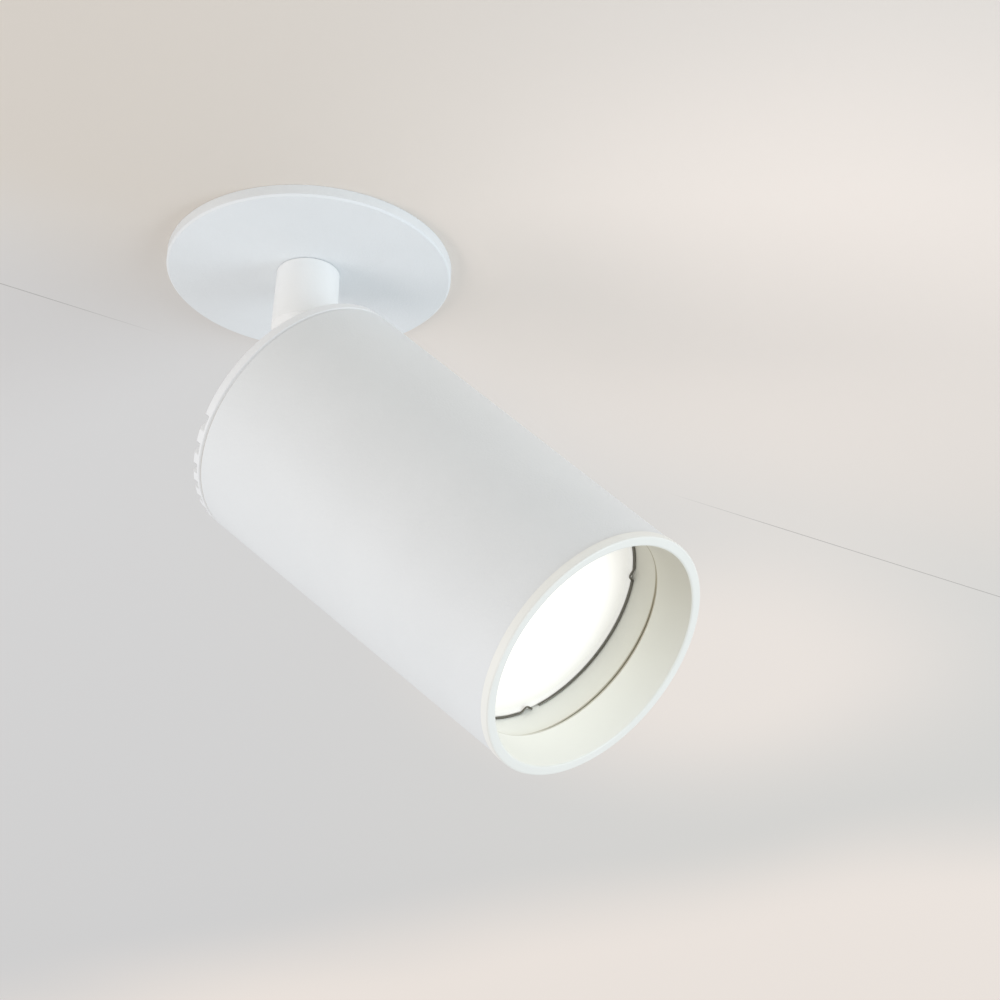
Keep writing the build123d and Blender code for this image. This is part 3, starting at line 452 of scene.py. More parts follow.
def wire(name, path, tangent, side, radius, around=20):
    """A round wire along a path: at each place a circle spanned by the side direction and by the
    tangent crossed with it. Over the last wire radius at both ends the circle shrinks as a half
    ball's does."""
    run = np.concatenate([[0.0], np.cumsum(np.linalg.norm(np.diff(path, axis=0), axis=1))])
    from_end = np.clip(np.minimum(run, run[-1] - run) / radius, 0, 1)
    size = radius * np.sqrt(1 - (1 - from_end) ** 2)
    angle = angles(around)[None, :, None]
    other = np.cross(tangent, side)
    circle = np.cos(angle) * side[:, None] + np.sin(angle) * other[:, None]
    return capped(name, path[:, None] + circle * size[:, None, None])


def add_node(tree, kind, values=None, links=None, stops=(), **settings):
    """Adds one shader node. Settings are its own fields, values fill its sockets, links join
    sockets to it, and stops are the places and colours of a ramp: its two ends, then any between
    them."""
    node = tree.nodes.new(kind)
    for field, value in settings.items():
        setattr(node, field, value)
    for number, (place, colour) in enumerate(stops):
        elements = node.color_ramp.elements
        stop = elements[number] if number < 2 else elements.new(place)
        stop.position = place
        stop.color = colour
    for socket, value in (values or {}).items():
        node.inputs[socket].default_value = value
    for socket, source in (links or {}).items():
        tree.links.new(source, node.inputs[socket])
    return node


def new_material(name):
    """An empty node material and its tree."""
    material = bpy.data.materials.new(name)
    material.use_nodes = True
    material.node_tree.nodes.clear()
    return material, material.node_tree


def rgba(colour, shade=1.0):
    """A colour for a socket, lighter or darker by a share."""
    return (*(min(1.0, value * shade) for value in colour), 1.0)


def per_metre(size_mm):
    """Texture scale that gives a pattern of this size in millimetres."""
    return 1 / (size_mm * MM)


def close_finish(tree, colour, sheen, height, lift_mm, strength=1.0, soft_edges=True, **values):
    """Ends a finish: the height lifts the surface, over edges that the shading rounds, and the
    shader takes the colour, the sheen and values for its other sockets."""
    relief = {"Height": height}
    if soft_edges:
        edge = add_node(tree, "ShaderNodeBevel", {"Radius": EDGE_SOFT}, samples=4)
        relief["Normal"] = edge.outputs["Normal"]
    depth = {"Strength": strength, "Distance": lift_mm * MM}
    lift = add_node(tree, "ShaderNodeBump", depth, relief)
    shader = add_node(
        tree, "ShaderNodeBsdfPrincipled", values,
        {"Base Color": colour, "Roughness": sheen, "Normal": lift.outputs["Normal"]},
    )
    add_node(tree, "ShaderNodeOutputMaterial", links={"Surface": shader.outputs[0]})


def grained(
    name, colour, grain_mm, lift_mm, rough, spread, cloud_mm=18, cloud=0.03, painted_shadow_and_tone=None, ior=1.5
):
    """A finish with fine grain. Grain noise lifts the surface and sways the roughness by its
    spread, and wide soft clouds sway the colour by a small share either way, as no sprayed or
    moulded skin is quite even. Where a second colour is given, it shows as far as the piece's
    painted_shadow_and_tone attribute says: painted shade, and a duller tone on the front ring's
    lip."""
    material, tree = new_material(name)
    where = add_node(tree, "ShaderNodeTexCoord").outputs["Object"]
    grain = add_node(
        tree, "ShaderNodeTexNoise",
        {"Scale": per_metre(grain_mm), "Detail": 3.0, "Roughness": 0.55}, {"Vector": where},
    )
    clouds = add_node(
        tree, "ShaderNodeTexNoise", {"Scale": per_metre(cloud_mm), "Detail": 2.0}, {"Vector": where}
    )
    tint = add_node(
        tree, "ShaderNodeMix", {FIRST: rgba(colour, 1 - cloud), SECOND: rgba(colour, 1 + cloud)},
        {FACTOR: clouds.outputs["Fac"]}, data_type="RGBA",
    )
    # The second colour paints shade, and a duller tone on the front ring's lip, as far as the
    # piece's attribute says
    if painted_shadow_and_tone:
        share = add_node(tree, "ShaderNodeAttribute", attribute_name="painted_shadow_and_tone")
        tint = add_node(
            tree, "ShaderNodeMix", {SECOND: rgba(painted_shadow_and_tone)},
            {FACTOR: share.outputs["Fac"], FIRST: tint.outputs[MIXED]}, data_type="RGBA",
        )
    sheen = add_node(
        tree, "ShaderNodeMapRange", {"To Min": rough - spread, "To Max": rough + spread},
        {"Value": grain.outputs["Fac"]},
    )
    height = grain.outputs["Fac"]
    close_finish(tree, tint.outputs[MIXED], sheen.outputs["Result"], height, lift_mm, IOR=ior)
    return material


def drawn(name, colour, line_mm, axis, rough, spread=0.08, stretch=30, lift_mm=0.006):
    """A metal with fine marks along one axis, from drawing or rolling: noise stretched along that
    axis sways the roughness and the tone, and lifts the surface a little."""
    material, tree = new_material(name)
    where = add_node(tree, "ShaderNodeTexCoord")
    scale = [per_metre(line_mm)] * 3
    scale[axis] = per_metre(line_mm * stretch)
    stretched = add_node(
        tree, "ShaderNodeMapping", {"Scale": scale}, {"Vector": where.outputs["Object"]}
    )
    marks = add_node(
        tree, "ShaderNodeTexNoise", {"Scale": 1.0, "Detail": 4.0, "Roughness": 0.6},
        {"Vector": stretched.outputs["Vector"]},
    ).outputs["Fac"]
    tone = add_node(
        tree, "ShaderNodeValToRGB", links={"Fac": marks},
        stops=((0.3, rgba(colour, 0.82)), (0.72, rgba(colour, 1.08))),
    )
    sheen = add_node(
        tree, "ShaderNodeMapRange", {"To Min": rough - spread, "To Max": rough + spread},
        {"Value": marks},
    )
    close_finish(
        tree, tone.outputs["Color"], sheen.outputs["Result"], marks, lift_mm,
        strength=0.6, Metallic=1.0,
    )
    return material


def zinc_plate(name):
    """Bright zinc on pressed steel. The eye sees a cool grey with faint straw and blue clouds from
    its passivation, over a fine grit."""
    material, tree = new_material(name)
    where = add_node(tree, "ShaderNodeTexCoord").outputs["Object"]
    clouds = add_node(
        tree, "ShaderNodeTexNoise", {"Scale": per_metre(6), "Detail": 3.0}, {"Vector": where}
    ).outputs["Fac"]
    grit = add_node(tree, "ShaderNodeTexVoronoi", {"Scale": per_metre(0.5)}, {"Vector": where})
    blue, grey, straw = (rgba(linear(colour)) for colour in (0xA9B1BA, 0xBFC2C4, 0xC4BFA8))
    tone = add_node(
        tree, "ShaderNodeValToRGB", links={"Fac": clouds},
        stops=((0.28, blue), (0.74, straw), (0.5, grey)),
    )
    sheen = add_node(
        tree, "ShaderNodeMapRange", {"To Min": 0.28, "To Max": 0.46}, {"Value": clouds}
    )
    close_finish(
        tree, tone.outputs["Color"], sheen.outputs["Result"], grit.outputs["Distance"],
        lift_mm=0.008, strength=0.5, Metallic=1.0,
    )
    return material


def steatite(name):
    """Glazed steatite of the lampholder. The eye sees warm white with fine dark specks under a
    soft gloss."""
    material, tree = new_material(name)
    where = add_node(tree, "ShaderNodeTexCoord").outputs["Object"]
    specks = add_node(tree, "ShaderNodeTexVoronoi", {"Scale": per_metre(1.1)}, {"Vector": where})
    tone = add_node(
        tree, "ShaderNodeValToRGB", links={"Fac": specks.outputs["Distance"]},
        stops=((0.06, rgba(linear(0xA79F90))), (0.13, rgba(linear(0xEAE5D9)))),
    )
    wave = add_node(
        tree, "ShaderNodeTexNoise", {"Scale": per_metre(3.0), "Detail": 2.0}, {"Vector": where}
    ).outputs["Fac"]
    sheen = add_node(tree, "ShaderNodeMapRange", {"To Min": 0.25, "To Max": 0.4}, {"Value": wave})
    close_finish(
        tree, tone.outputs["Color"], sheen.outputs["Result"], wave,
        lift_mm=0.03, strength=0.5, soft_edges=False, IOR=1.55,
    )
    return material


def lit_lens(name, colours):
    """Frosted polycarbonate with light-emitting diodes behind it. The eye sees an even warm white
    glow over the middle, which turns dimmer and more neutral towards the rim, where the reach
    attribute comes to 1."""
    material, tree = new_material(name)
    where = add_node(tree, "ShaderNodeTexCoord")
    reach = add_node(tree, "ShaderNodeAttribute", attribute_name="reach")
    middle = rgba(colours.lens_middle)
    dimmer, rim = rgba(colours.lens_rim, 0.575), rgba(colours.lens_rim, 0.38)
    glow = add_node(
        tree, "ShaderNodeValToRGB", links={"Fac": reach.outputs["Fac"]},
        stops=((0.5, middle), (1.0, rim), (0.7, dimmer)),
    )
    frost = add_node(
        tree, "ShaderNodeTexNoise", {"Scale": per_metre(0.4), "Detail": 3.0},
        {"Vector": where.outputs["Object"]},
    )
    lift = add_node(
        tree, "ShaderNodeBump", {"Strength": 0.7, "Distance": 0.02 * MM},
        {"Height": frost.outputs["Fac"]},
    )
    shader = add_node(
        tree,
        "ShaderNodeBsdfPrincipled",
        {
            "Base Color": rgba(linear(0xA9A9A4)),
            "Roughness": 0.45,
            "IOR": 1.58,
            "Emission Strength": colours.lens_strength,
        },
        {"Emission Color": glow.outputs["Color"], "Normal": lift.outputs["Normal"]},
    )
    add_node(tree, "ShaderNodeOutputMaterial", links={"Surface": shader.outputs[0]})
    return material


def finishes():
    """Makes each finish once and gives it by the name of the slot that it fills."""
    made = frame.setdefault("finishes", {})
    if made:
        return made
    colours = bpy.context.scene.spot_colours
    # Powder coat on die-cast aluminium: an even satin white whose baked grains show as very fine
    # orange peel. The grain is drawn at 0.5 mm, twice its real size, so that it shows at this
    # distance.
    made["plate_white"] = grained(
        "powder_coated_aluminium", colours.coat,
        grain_mm=0.5, lift_mm=0.05, rough=0.52, spread=0.08,
    )
    # Powder coat on drawn aluminium tube: the same satin white with a slightly livelier grain.
    # A tan painted shadow along the rear edge of the under side stands in for the shade in the seam
    # with the cap.
    made["head_white"] = grained(
        "powder_coated_tube", colours.coat,
        grain_mm=0.5, lift_mm=0.06, rough=0.5, spread=0.08, painted_shadow_and_tone=linear(0xA2957E),
    )
    # Satin coat on the die-cast cap: a brighter white with a softer grain than the tube's.
    made["cap_white"] = grained(
        "satin_coated_casting", colours.cap,
        grain_mm=0.7, lift_mm=0.025, rough=0.42, spread=0.06,
    )
    # Satin coat on the turned front ring and sleeve: a smooth white that handling has dulled on the
    # lip, with painted shade that darkens the walls in the mouth, most on the upper side and a
    # little on the under side, and a brown painted shadow along the shadow gap.
    made["ring_white"] = grained(
        "satin_coated_ring", colours.ring,
        grain_mm=0.8, lift_mm=0.012, rough=0.38, spread=0.05, painted_shadow_and_tone=linear(0x9C937E),
    )
    # Stoved paint on the turned stem: the smoothest and brightest of the whites.
    made["stem_white"] = grained(
        "stoved_white_paint", colours.stem,
        grain_mm=0.9, lift_mm=0.02, rough=0.4, spread=0.05,
    )
    # Oil-hardened spring steel: dark blue-grey wire and strip with drawing marks.
    made["spring_steel"] = drawn(
        "spring_steel", linear(0x6F747A), line_mm=0.12, axis=1, rough=0.34
    )
    # Stainless spring wire: a grey line against the white wall, with drawing marks across the head.
    made["wire_steel"] = drawn(
        "stainless_wire", linear(0x77746C), line_mm=0.15, axis=0, rough=0.36
    )
    # Zinc-plated steel of the yoke, the bracket and the fasteners.
    made["zinc_steel"] = zinc_plate("zinc_plated_steel")
    # Turned brass of the terminal screws: warm yellow with turning marks.
    made["brass"] = drawn("turned_brass", linear(0xC9A65A), line_mm=0.15, axis=2, rough=0.32)
    # Glass-filled polyamide of the tray and the cover: near black with a spark-eroded mould grain.
    made["black_plastic"] = grained(
        "black_polyamide", linear(0x1E1F21),
        grain_mm=0.45, lift_mm=0.05, rough=0.55, spread=0.08, cloud_mm=10, cloud=0.12, ior=1.53,
    )
    # Natural polyamide of the terminal block: a milky white with soft clouds.
    made["block_plastic"] = grained(
        "natural_polyamide", linear(0xDEDACB),
        grain_mm=0.6, lift_mm=0.02, rough=0.42, spread=0.06, cloud_mm=7, cloud=0.05, ior=1.53,
    )
    # Turned nylon of the glide and friction washers: off-white and waxy.
    made["nylon"] = grained(
        "nylon", linear(0xE4E1D4),
        grain_mm=0.5, lift_mm=0.015, rough=0.45, spread=0.06, cloud_mm=5, cloud=0.04, ior=1.53,
    )
    # Black rubber of the grommets: dull, with a faint bloom.
    made["black_rubber"] = grained(
        "black_rubber", linear(0x232425),
        grain_mm=0.35, lift_mm=0.03, rough=0.72, spread=0.1, cloud_mm=4, cloud=0.18, ior=1.52,
    )
    made["holder_ceramic"] = steatite("glazed_steatite")
    # Moulded polyester of the lamp body: plain white with a fine satin grain.
    made["lamp_white"] = grained(
        "moulded_polyester", linear(0xEDECE7),
        grain_mm=0.5, lift_mm=0.02, rough=0.45, spread=0.06, ior=1.57,
    )
    made["lamp_lens"] = lit_lens("frosted_polycarbonate_lit", colours)
    return made


def painted_wall_shade_share(sizes, power):
    """Share of painted shade on a wall in the mouth, by angle. The upper share goes from none on
    the under side to all on the upper side as half of one less the sine, to a power that is lower
    near the lamp. The under share goes with the sine on the under side, so the walls there are a
    little darker too."""
    height = -np.sin(angles(sizes.around))
    return sizes.painted_upper_shade * ((1 + height) / 2) ** power + sizes.painted_under_shade * np.clip(-height, 0, 1)


def painted_shade_share(sizes):
    """Share of painted shadow along the shadow gap, by angle: two less the sine, over three, so 1
    on the upper side and a third on the under side."""
    return (2 - np.sin(angles(sizes.around))) / 3


def store(piece, name, values):
    """Keeps one number for each point of a piece, for its finish to read."""
    attribute = piece.data.attributes.new(name, "FLOAT", "POINT")
    attribute.data.foreach_set("value", np.asarray(values, np.float32))


def finish_piece(piece, slot, body, *nodes):
    """Gives a new piece its finish and slot, lets it ride on its body and stand for its fixed
    parts. A piece given no body rides on none."""
    piece.data.materials.append(finishes()[slot])
    if body:
        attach(piece, body)
    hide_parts(*nodes)


class SPOT_OT_head_tube(bpy.types.Operator):
    """Turns the head tube: a straight wall whose four edges are broken by a small rounding. The
    painted_shadow_and_tone attribute is the share of painted shade on its rear outer edge, which is
    the sine of the angle round the under side: a tan line that stands in for the seam's shadow."""

    bl_idname = "spot.head_tube"
    bl_label = "Head Tube"

    def execute(self, context):
        sizes = context.scene.spot_sizes
        bore, outside, front, rear = TUBE_REACH
        corners = [(bore, front), (outside, front), (outside, rear), (bore, rear)]
        profile = rounded(corners, [sizes.edge_break] * len(corners))
        piece = turned_loop("head_tube_skin", profile, sizes.around)
        outer = profile[:, 0] > bore + sizes.edge_break
        # Painted shadow: the rear outer edge turns tan towards the under side, standing in for the
        # shadow in the seam with the cap
        painted_shade = outer & (profile[:, 1] > rear - sizes.edge_break - ON_WALL)
        under = np.clip(np.sin(angles(sizes.around)), 0, 1)
        store(piece, "painted_shadow_and_tone", np.outer(painted_shade, under).ravel())
        finish_piece(piece, "head_white", "head", "head_tube")
        return {"FINISHED"}


class SPOT_OT_front_ring(bpy.types.Operator):
    """Turns the front ring: a flat lip with rounded edges, a throat that narrows rearwards in a
    straight taper, and a plug that goes into the tube. The painted_shadow_and_tone attribute is the
    share of painted shadow on the throat's sharp rear edge, a brown line that stands in for the
    shadow gap behind it, the painted wall shade in the throat, and the dulled share on the lip's
    face."""

    bl_idname = "spot.front_ring"
    bl_label = "Front Ring"

    def execute(self, context):
        sizes = context.scene.spot_sizes
        throat, outside, front, rear = RING_REACH
        plug = TUBE_REACH[0] - PLUG_PLAY
        shoulder = front + sizes.front_band
        lip_inside = (outside - sizes.lip_width, front)
        throat_end = (throat, rear)
        painted_shade_from = throat_end + unit(np.subtract(lip_inside, throat_end)) * sizes.painted_shade_edge
        # Each corner with its rounding
        corners, radii = zip(
            (lip_inside, sizes.lip_round),
            ((outside, front), sizes.lip_round),
            ((outside, shoulder), sizes.edge_break),
            ((plug, shoulder), FINE_ROUND),
            ((plug, rear), FINE_ROUND),
            (throat_end, FINE_ROUND),
            (painted_shade_from, FINE_ROUND),
        )
        profile = rounded(corners, radii, arc_steps=9)
        piece = turned_loop("front_ring_skin", profile, sizes.around)
        # Painted shadow: a brown line on the throat's rear edge stands in for the shadow gap behind
        # it
        painted_shade = (profile[:, 0] < throat + NEAR_EDGE) & (profile[:, 1] > painted_shade_from[1])
        inner = profile[:, 0] < lip_inside[0] - ON_WALL
        handled = sizes.dulled * (profile[:, 1] < front + sizes.lip_round)
        # Painted shade: the walls in the throat are darkened by angle
        painted_wall_shade = np.where(inner[:, None], painted_wall_shade_share(sizes, power=3), handled[:, None])
        store(piece, "painted_shadow_and_tone", np.maximum(np.outer(painted_shade, painted_shade_share(sizes)), painted_wall_shade).ravel())
        finish_piece(piece, "ring_white", "head", "front_ring")
        return {"FINISHED"}


class SPOT_OT_lamp_sleeve(bpy.types.Operator):
    """Turns the lamp sleeve: a thin straight wall behind the front ring, with a shadow gap at its
    front. The painted_shadow_and_tone attribute is the share of painted shadow in the gap and just
    behind it, and of painted wall shade in the bore."""

    bl_idname = "spot.lamp_sleeve"
    bl_label = "Lamp Sleeve"

    def execute(self, context):
        sizes = context.scene.spot_sizes
        bore, outside, front, rear = SLEEVE_REACH
        gap = bore + sizes.gap_depth
        gap_end = front + sizes.gap_length
        painted_shade_end = gap_end + sizes.painted_shade_edge
        corners = [
            (gap, front),
            (outside, front),
            (outside, rear),
            (bore, rear),
            (bore, painted_shade_end),
            (bore, gap_end),
            (gap, gap_end),
        ]
        profile = rounded(corners, [FINE_ROUND] * len(corners))
        piece = turned_loop("lamp_sleeve_skin", profile, sizes.around)
        # Painted shadow: the gap and the bore just behind it turn brown, standing in for the gap's
        # shade
        painted_shade = (profile[:, 0] < outside - NEAR_EDGE) & (profile[:, 1] < painted_shade_end)
        inner = profile[:, 0] < bore + ON_WALL
        # Painted shade: the bore is darkened by angle
        painted_wall_shade = np.outer(inner, painted_wall_shade_share(sizes, power=2))
        store(piece, "painted_shadow_and_tone", np.maximum(np.outer(painted_shade, painted_shade_share(sizes)), painted_wall_shade).ravel())
        finish_piece(piece, "ring_white", "head", "lamp_sleeve")
        return {"FINISHED"}


class SPOT_OT_wire_ring(bpy.types.Operator):
    """Bends the retaining ring. Its radius about the head's axis is constant, less the ear depth
    times the square of one less the squared share of the ear's half angle, where an ear is. Its
    height along the head stays the same."""

    bl_idname = "spot.wire_ring"
    bl_label = "Wire Ring"

    def execute(self, context):
        sizes = context.scene.spot_sizes
        ring = WIRE_REACH[1] - sizes.ring_wire
        height = (WIRE_REACH[2] + WIRE_REACH[3]) / 2
        start = sizes.first_ear - sizes.ear_half
        angle = start + end_spaced(RING_STEPS) * (TAU - sizes.wire_gap)
        ears = np.array([[sizes.first_ear], [sizes.second_ear]])
        share = np.clip((angle - ears) / sizes.ear_half, -1, 1)
        bend = ((1 - share**2) ** 2).sum(0)
        steepness = (-4 * share * (1 - share**2)).sum(0) / sizes.ear_half
        radius = ring - sizes.ear_depth * bend
        outwards = np.stack([np.cos(angle), np.sin(angle), np.zeros_like(angle)], axis=-1)
        onwards = np.stack([-np.sin(angle), np.cos(angle), np.zeros_like(angle)], axis=-1)
        path = outwards * radius[:, None]
        path[:, 2] = height
        inwards = sizes.ear_depth * steepness
        tangent = unit(onwards * radius[:, None] - outwards * inwards[:, None]) @ HEAD_AXES
        side = np.broadcast_to(HEAD_REAR, tangent.shape)
        piece = wire("wire_ring_skin", from_head(path), tangent, side, sizes.ring_wire)
        finish_piece(piece, "wire_steel", "head", "wire_ring")
        return {"FINISHED"}


class SPOT_OT_lamp_lens(bpy.types.Operator):
    """Turns the lamp lens. Its front is a shallow dome, whose height falls from the crown by the
    dome's rise times the squared share of the radius, with a thin flange over the lamp's rim. The
    reach attribute is the radius as a share of the lens's own."""

    bl_idname = "spot.lamp_lens"
    bl_label = "Lamp Lens"

    def execute(self, context):
        sizes = context.scene.spot_sizes
        _, outside, front, rear = LENS_REACH
        share = np.linspace(0, 1, DOME_STEPS)
        dome_radius = share * (outside - sizes.lens_flange)
        dome = np.stack([dome_radius, front + sizes.lens_dome * share**2], axis=-1)
        face = front - sizes.lens_sink
        rim = outside + sizes.lens_flange
        flange = [(outside, face - FLANGE_T), (rim, face - FLANGE_T)]
        back = [(rim, face), (outside, face), (outside, rear), (0.0, rear)]
        profile = np.concatenate([dome, flange, back])
        piece = capped("lamp_lens_skin", from_head(swept(profile, sizes.around)))
        local = to_head(piece.data)
        store(piece, "reach", np.hypot(local[:, 0], local[:, 1]) / outside)
        finish_piece(piece, "lamp_lens", "head", "lamp_lens")
        return {"FINISHED"}


class SPOT_OT_clip_springs(bpy.types.Operator):
    """Winds the two clip springs. A straight leg rises from the collar, a helix of constant radius
    goes round the pin with a constant pitch along it, and a straight leg leaves on the tangent and
    lies on the blade. The real coil twists between the plate and the clip when the clip turns; here
    it is wound in the rest pose and rides on no body."""

    bl_idname = "spot.clip_springs"
    bl_label = "Clip Springs"

    def execute(self, context):
        sizes = context.scene.spot_sizes
        for name in ("right", "left"):
            pin = np.array(JOINTS[f"{name}_clip"]["pos_m"], float)
            mirror = np.array([np.sign(pin[0]), 1.0, 1.0])
            pin = pin * mirror
            low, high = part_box(f"{name}_spring")
            sweep = sizes.coil_turns * TAU + np.pi - sizes.leg_leaves
            length = sizes.coil_pitch * sweep / TAU
            turn = np.linspace(0, 1, COIL_STEPS)
            angle = np.pi - turn * sweep
            outwards = np.stack([np.cos(angle), np.zeros_like(angle), np.sin(angle)], axis=-1)
            coil = pin + outwards * sizes.coil_radius
            coil[:, 1] = (turn - 0.5) * length
            foot = coil[0] - (0, 0, coil[0, 2] - low.z)
            fixed_leg = foot + (coil[0] - foot) * end_spaced(FIXED_LEG_STEPS)[:-1, None]
            leaving = np.array([np.sin(sizes.leg_leaves), 0.0, -np.cos(sizes.leg_leaves)])
            reach = max(abs(low.x), abs(high.x)) - coil[-1, 0]
            along = leaving * (reach / leaving[0])
            free_leg = coil[-1] + along * end_spaced(FREE_LEG_STEPS)[1:, None]
            path = np.concatenate([fixed_leg, coil, free_leg])
            tangent = unit(np.gradient(path, axis=0))
            # The side direction stays the same along the legs, and square to the wire
            side = np.pad(outwards, ((len(fixed_leg), len(free_leg)), (0, 0)), mode="edge")
            side = unit(side - tangent * np.einsum("ij,ij->i", side, tangent)[:, None])
            run = (path * mirror, tangent * mirror, side * mirror)
            piece = wire(f"{name}_spring_wire", *run, sizes.spring_wire, around=16)
            finish_piece(piece, "spring_steel", None, f"{name}_spring")
            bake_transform(piece)
        return {"FINISHED"}


class SPOT_OT_fixed_parts(bpy.types.Operator):
    """Gives every fixed part the finish of its slot."""

    bl_idname = "spot.fixed_parts"
    bl_label = "Fixed Parts"

    def execute(self, context):
        subparts = frame["record"]["subparts"]
        slots = {entry["node"]: entry["material_slot"] for entry in subparts}
        for name, part in frame["nodes"].items():
            part.data.materials.clear()
            part.data.materials.append(finishes()[slots[name]])
        return {"FINISHED"}


def stand(scene, data, place, axes):
    """Puts a lamp or a camera at a place, turned to its own three axes."""
    holder = bpy.data.objects.new(data.name, data)
    scene.collection.objects.link(holder)
    holder.matrix_world = Matrix.Translation(place) @ Matrix(axes.T.tolist()).to_4x4()
    return holder


class SPOT_OT_stage(bpy.types.Operator):
    """Sets up the ceiling with its round hole, the light and the camera."""

    bl_idname = "spot.stage"
    bl_label = "Stage"

    def execute(self, context):
        stage = context.scene.spot_stage
        scene = context.scene
        scene.view_settings.view_transform = "Standard"
        self.make_ceiling(scene, stage)
        self.make_light(scene, stage)
        self.make_camera(scene, stage)
        return {"FINISHED"}

    def make_ceiling(self, scene, stage):
        """A flat ring from the hole outwards, whose radius grows by a constant ratio, facing
        down."""
        rings, around = 24, 128
        radius = np.geomspace(stage.hole, CEILING_EDGE, rings)
        profile = np.stack([radius, np.full(rings, CEILING_LIFT)], axis=-1)
        faces = ring_faces(np.arange(rings * around).reshape(rings, around))
        mesh = bpy.data.meshes.new("ceiling")
        mesh.from_pydata(swept(profile, around).reshape(-1, 3), [], faces.tolist())
        mesh.update()
        if mesh.polygons[0].normal.z > 0:
            mesh.flip_normals()
        ceiling = bpy.data.objects.new("ceiling", mesh)
        scene.collection.objects.link(ceiling)
        mesh.materials.append(self.ceiling_paint(stage))

    def ceiling_paint(self, stage):
        """Matt wall paint with one fine joint line and soft warm light: a band and two round
        patches, whose edges a wide noise sways. It shows from below only, so that the parts above
        the ceiling can be seen from above."""
        material, tree = new_material("matt_ceiling_paint")
        where = add_node(tree, "ShaderNodeTexCoord").outputs["Object"]
        sway = add_node(
            tree, "ShaderNodeTexNoise", {"Scale": per_metre(90), "Detail": 0.5}, {"Vector": where}
        ).outputs["Fac"]
        # Distances in the ceiling: towards the brighter end of the room, across and along the joint
        # line, and across the warm band
        directions = {
            "brighter": (0.354, -0.934, 0.0),
            "across": (0.6616, 0.7499, 0.0),
            "along": (0.7499, -0.6616, 0.0),
            "band": (1.0, -0.1, 0.0),
        }
        distance = {}
        for name, direction in directions.items():
            product = add_node(
                tree, "ShaderNodeVectorMath", {1: direction}, {0: where}, operation="DOT_PRODUCT"
            )
            distance[name] = product.outputs["Value"]
        # Soft steps from the darker to the paler end, and to beyond the joint line
        steps = []
        for name, start, end in (("brighter", -60 * MM, 120 * MM), ("across", -10 * MM, 55 * MM)):
            step = add_node(
                tree, "ShaderNodeMapRange", {"From Min": start, "From Max": end},
                {"Value": distance[name]}, interpolation_type="SMOOTHSTEP",
            )
            steps.append(step.outputs[0])
        paler, beyond = steps
        sides = []
        for shade, brighter in (
            (stage.ceiling_shade, stage.ceiling_pale),
            (stage.beyond_shade, stage.beyond_pale),
        ):
            side = add_node(
                tree, "ShaderNodeMix", {FIRST: rgba(shade), SECOND: rgba(brighter)},
                {FACTOR: paler}, data_type="RGBA",
            )
            sides.append(side.outputs[MIXED])
        paint = add_node(
            tree, "ShaderNodeMix", links={FACTOR: beyond, FIRST: sides[0], SECOND: sides[1]},
            data_type="RGBA",
        )
        # Warm light in metres: where it is measured from, where it ends, where it is full, and the
        # share that it covers there. The patches are full out to the same radius.
        patches = (((0.048, -0.108, 0.0), 0.16, 0.95), ((0.2, -0.025, 0.0), 0.105, 0.8))
        patch_full = 0.03
        edge_sway = 0.03
        warmth = [(distance["band"], 0.3, 0.36, 1.0)]
        for middle, reach, share in patches:
            away = add_node(
                tree, "ShaderNodeVectorMath", {1: middle}, {0: where}, operation="DISTANCE"
            )
            warmth.append((away.outputs["Value"], reach, patch_full, share))
        for place, dark_end, lit_end, share in warmth:
            swayed = add_node(
                tree, "ShaderNodeMath", {1: edge_sway}, {0: sway, 2: place},
                operation="MULTIPLY_ADD",
            )
            warm = add_node(
                tree, "ShaderNodeMapRange",
                {"From Min": dark_end, "From Max": lit_end, "To Max": share},
                {"Value": swayed.outputs[0]}, interpolation_type="SMOOTHSTEP",
            )
            paint = add_node(
                tree, "ShaderNodeMix", {SECOND: rgba(stage.ceiling_glow)},
                {FACTOR: warm.outputs[0], FIRST: paint.outputs[MIXED]}, data_type="RGBA",
            )
        # The joint line, which shows only beyond some way from the place where it fades out
        line_place, line_half, fade_middle = 43.95 * MM, 0.14 * MM, 50 * MM
        line = add_node(
            tree, "ShaderNodeMath", {1: line_place, 2: line_half}, {0: distance["across"]},
            operation="COMPARE",
        )
        past = add_node(
            tree, "ShaderNodeMath", {1: fade_middle}, {0: distance["along"]}, operation="SUBTRACT"
        )
        away = add_node(tree, "ShaderNodeMath", links={0: past.outputs[0]}, operation="ABSOLUTE")
        fade = add_node(
            tree, "ShaderNodeMapRange", {"From Min": 64 * MM, "From Max": 95 * MM, "To Max": 0.55},
            {"Value": away.outputs[0]},
        )
        joint = add_node(
            tree, "ShaderNodeMath", links={0: line.outputs[0], 1: fade.outputs[0]},
            operation="MULTIPLY",
        )
        colour = add_node(
            tree, "ShaderNodeMix", {SECOND: rgba(linear(0x8F8D8A))},
            {FACTOR: joint.outputs[0], FIRST: paint.outputs[MIXED]}, data_type="RGBA",
        )
        matt = add_node(tree, "ShaderNodeBsdfDiffuse", links={"Color": colour.outputs[MIXED]})
        clear = add_node(tree, "ShaderNodeBsdfTransparent")
        above = add_node(tree, "ShaderNodeNewGeometry").outputs["Backfacing"]
        shader = add_node(
            tree, "ShaderNodeMixShader", links={0: above, 1: matt.outputs[0], 2: clear.outputs[0]}
        )
        add_node(tree, "ShaderNodeOutputMaterial", links={"Surface": shader.outputs[0]})
        return material

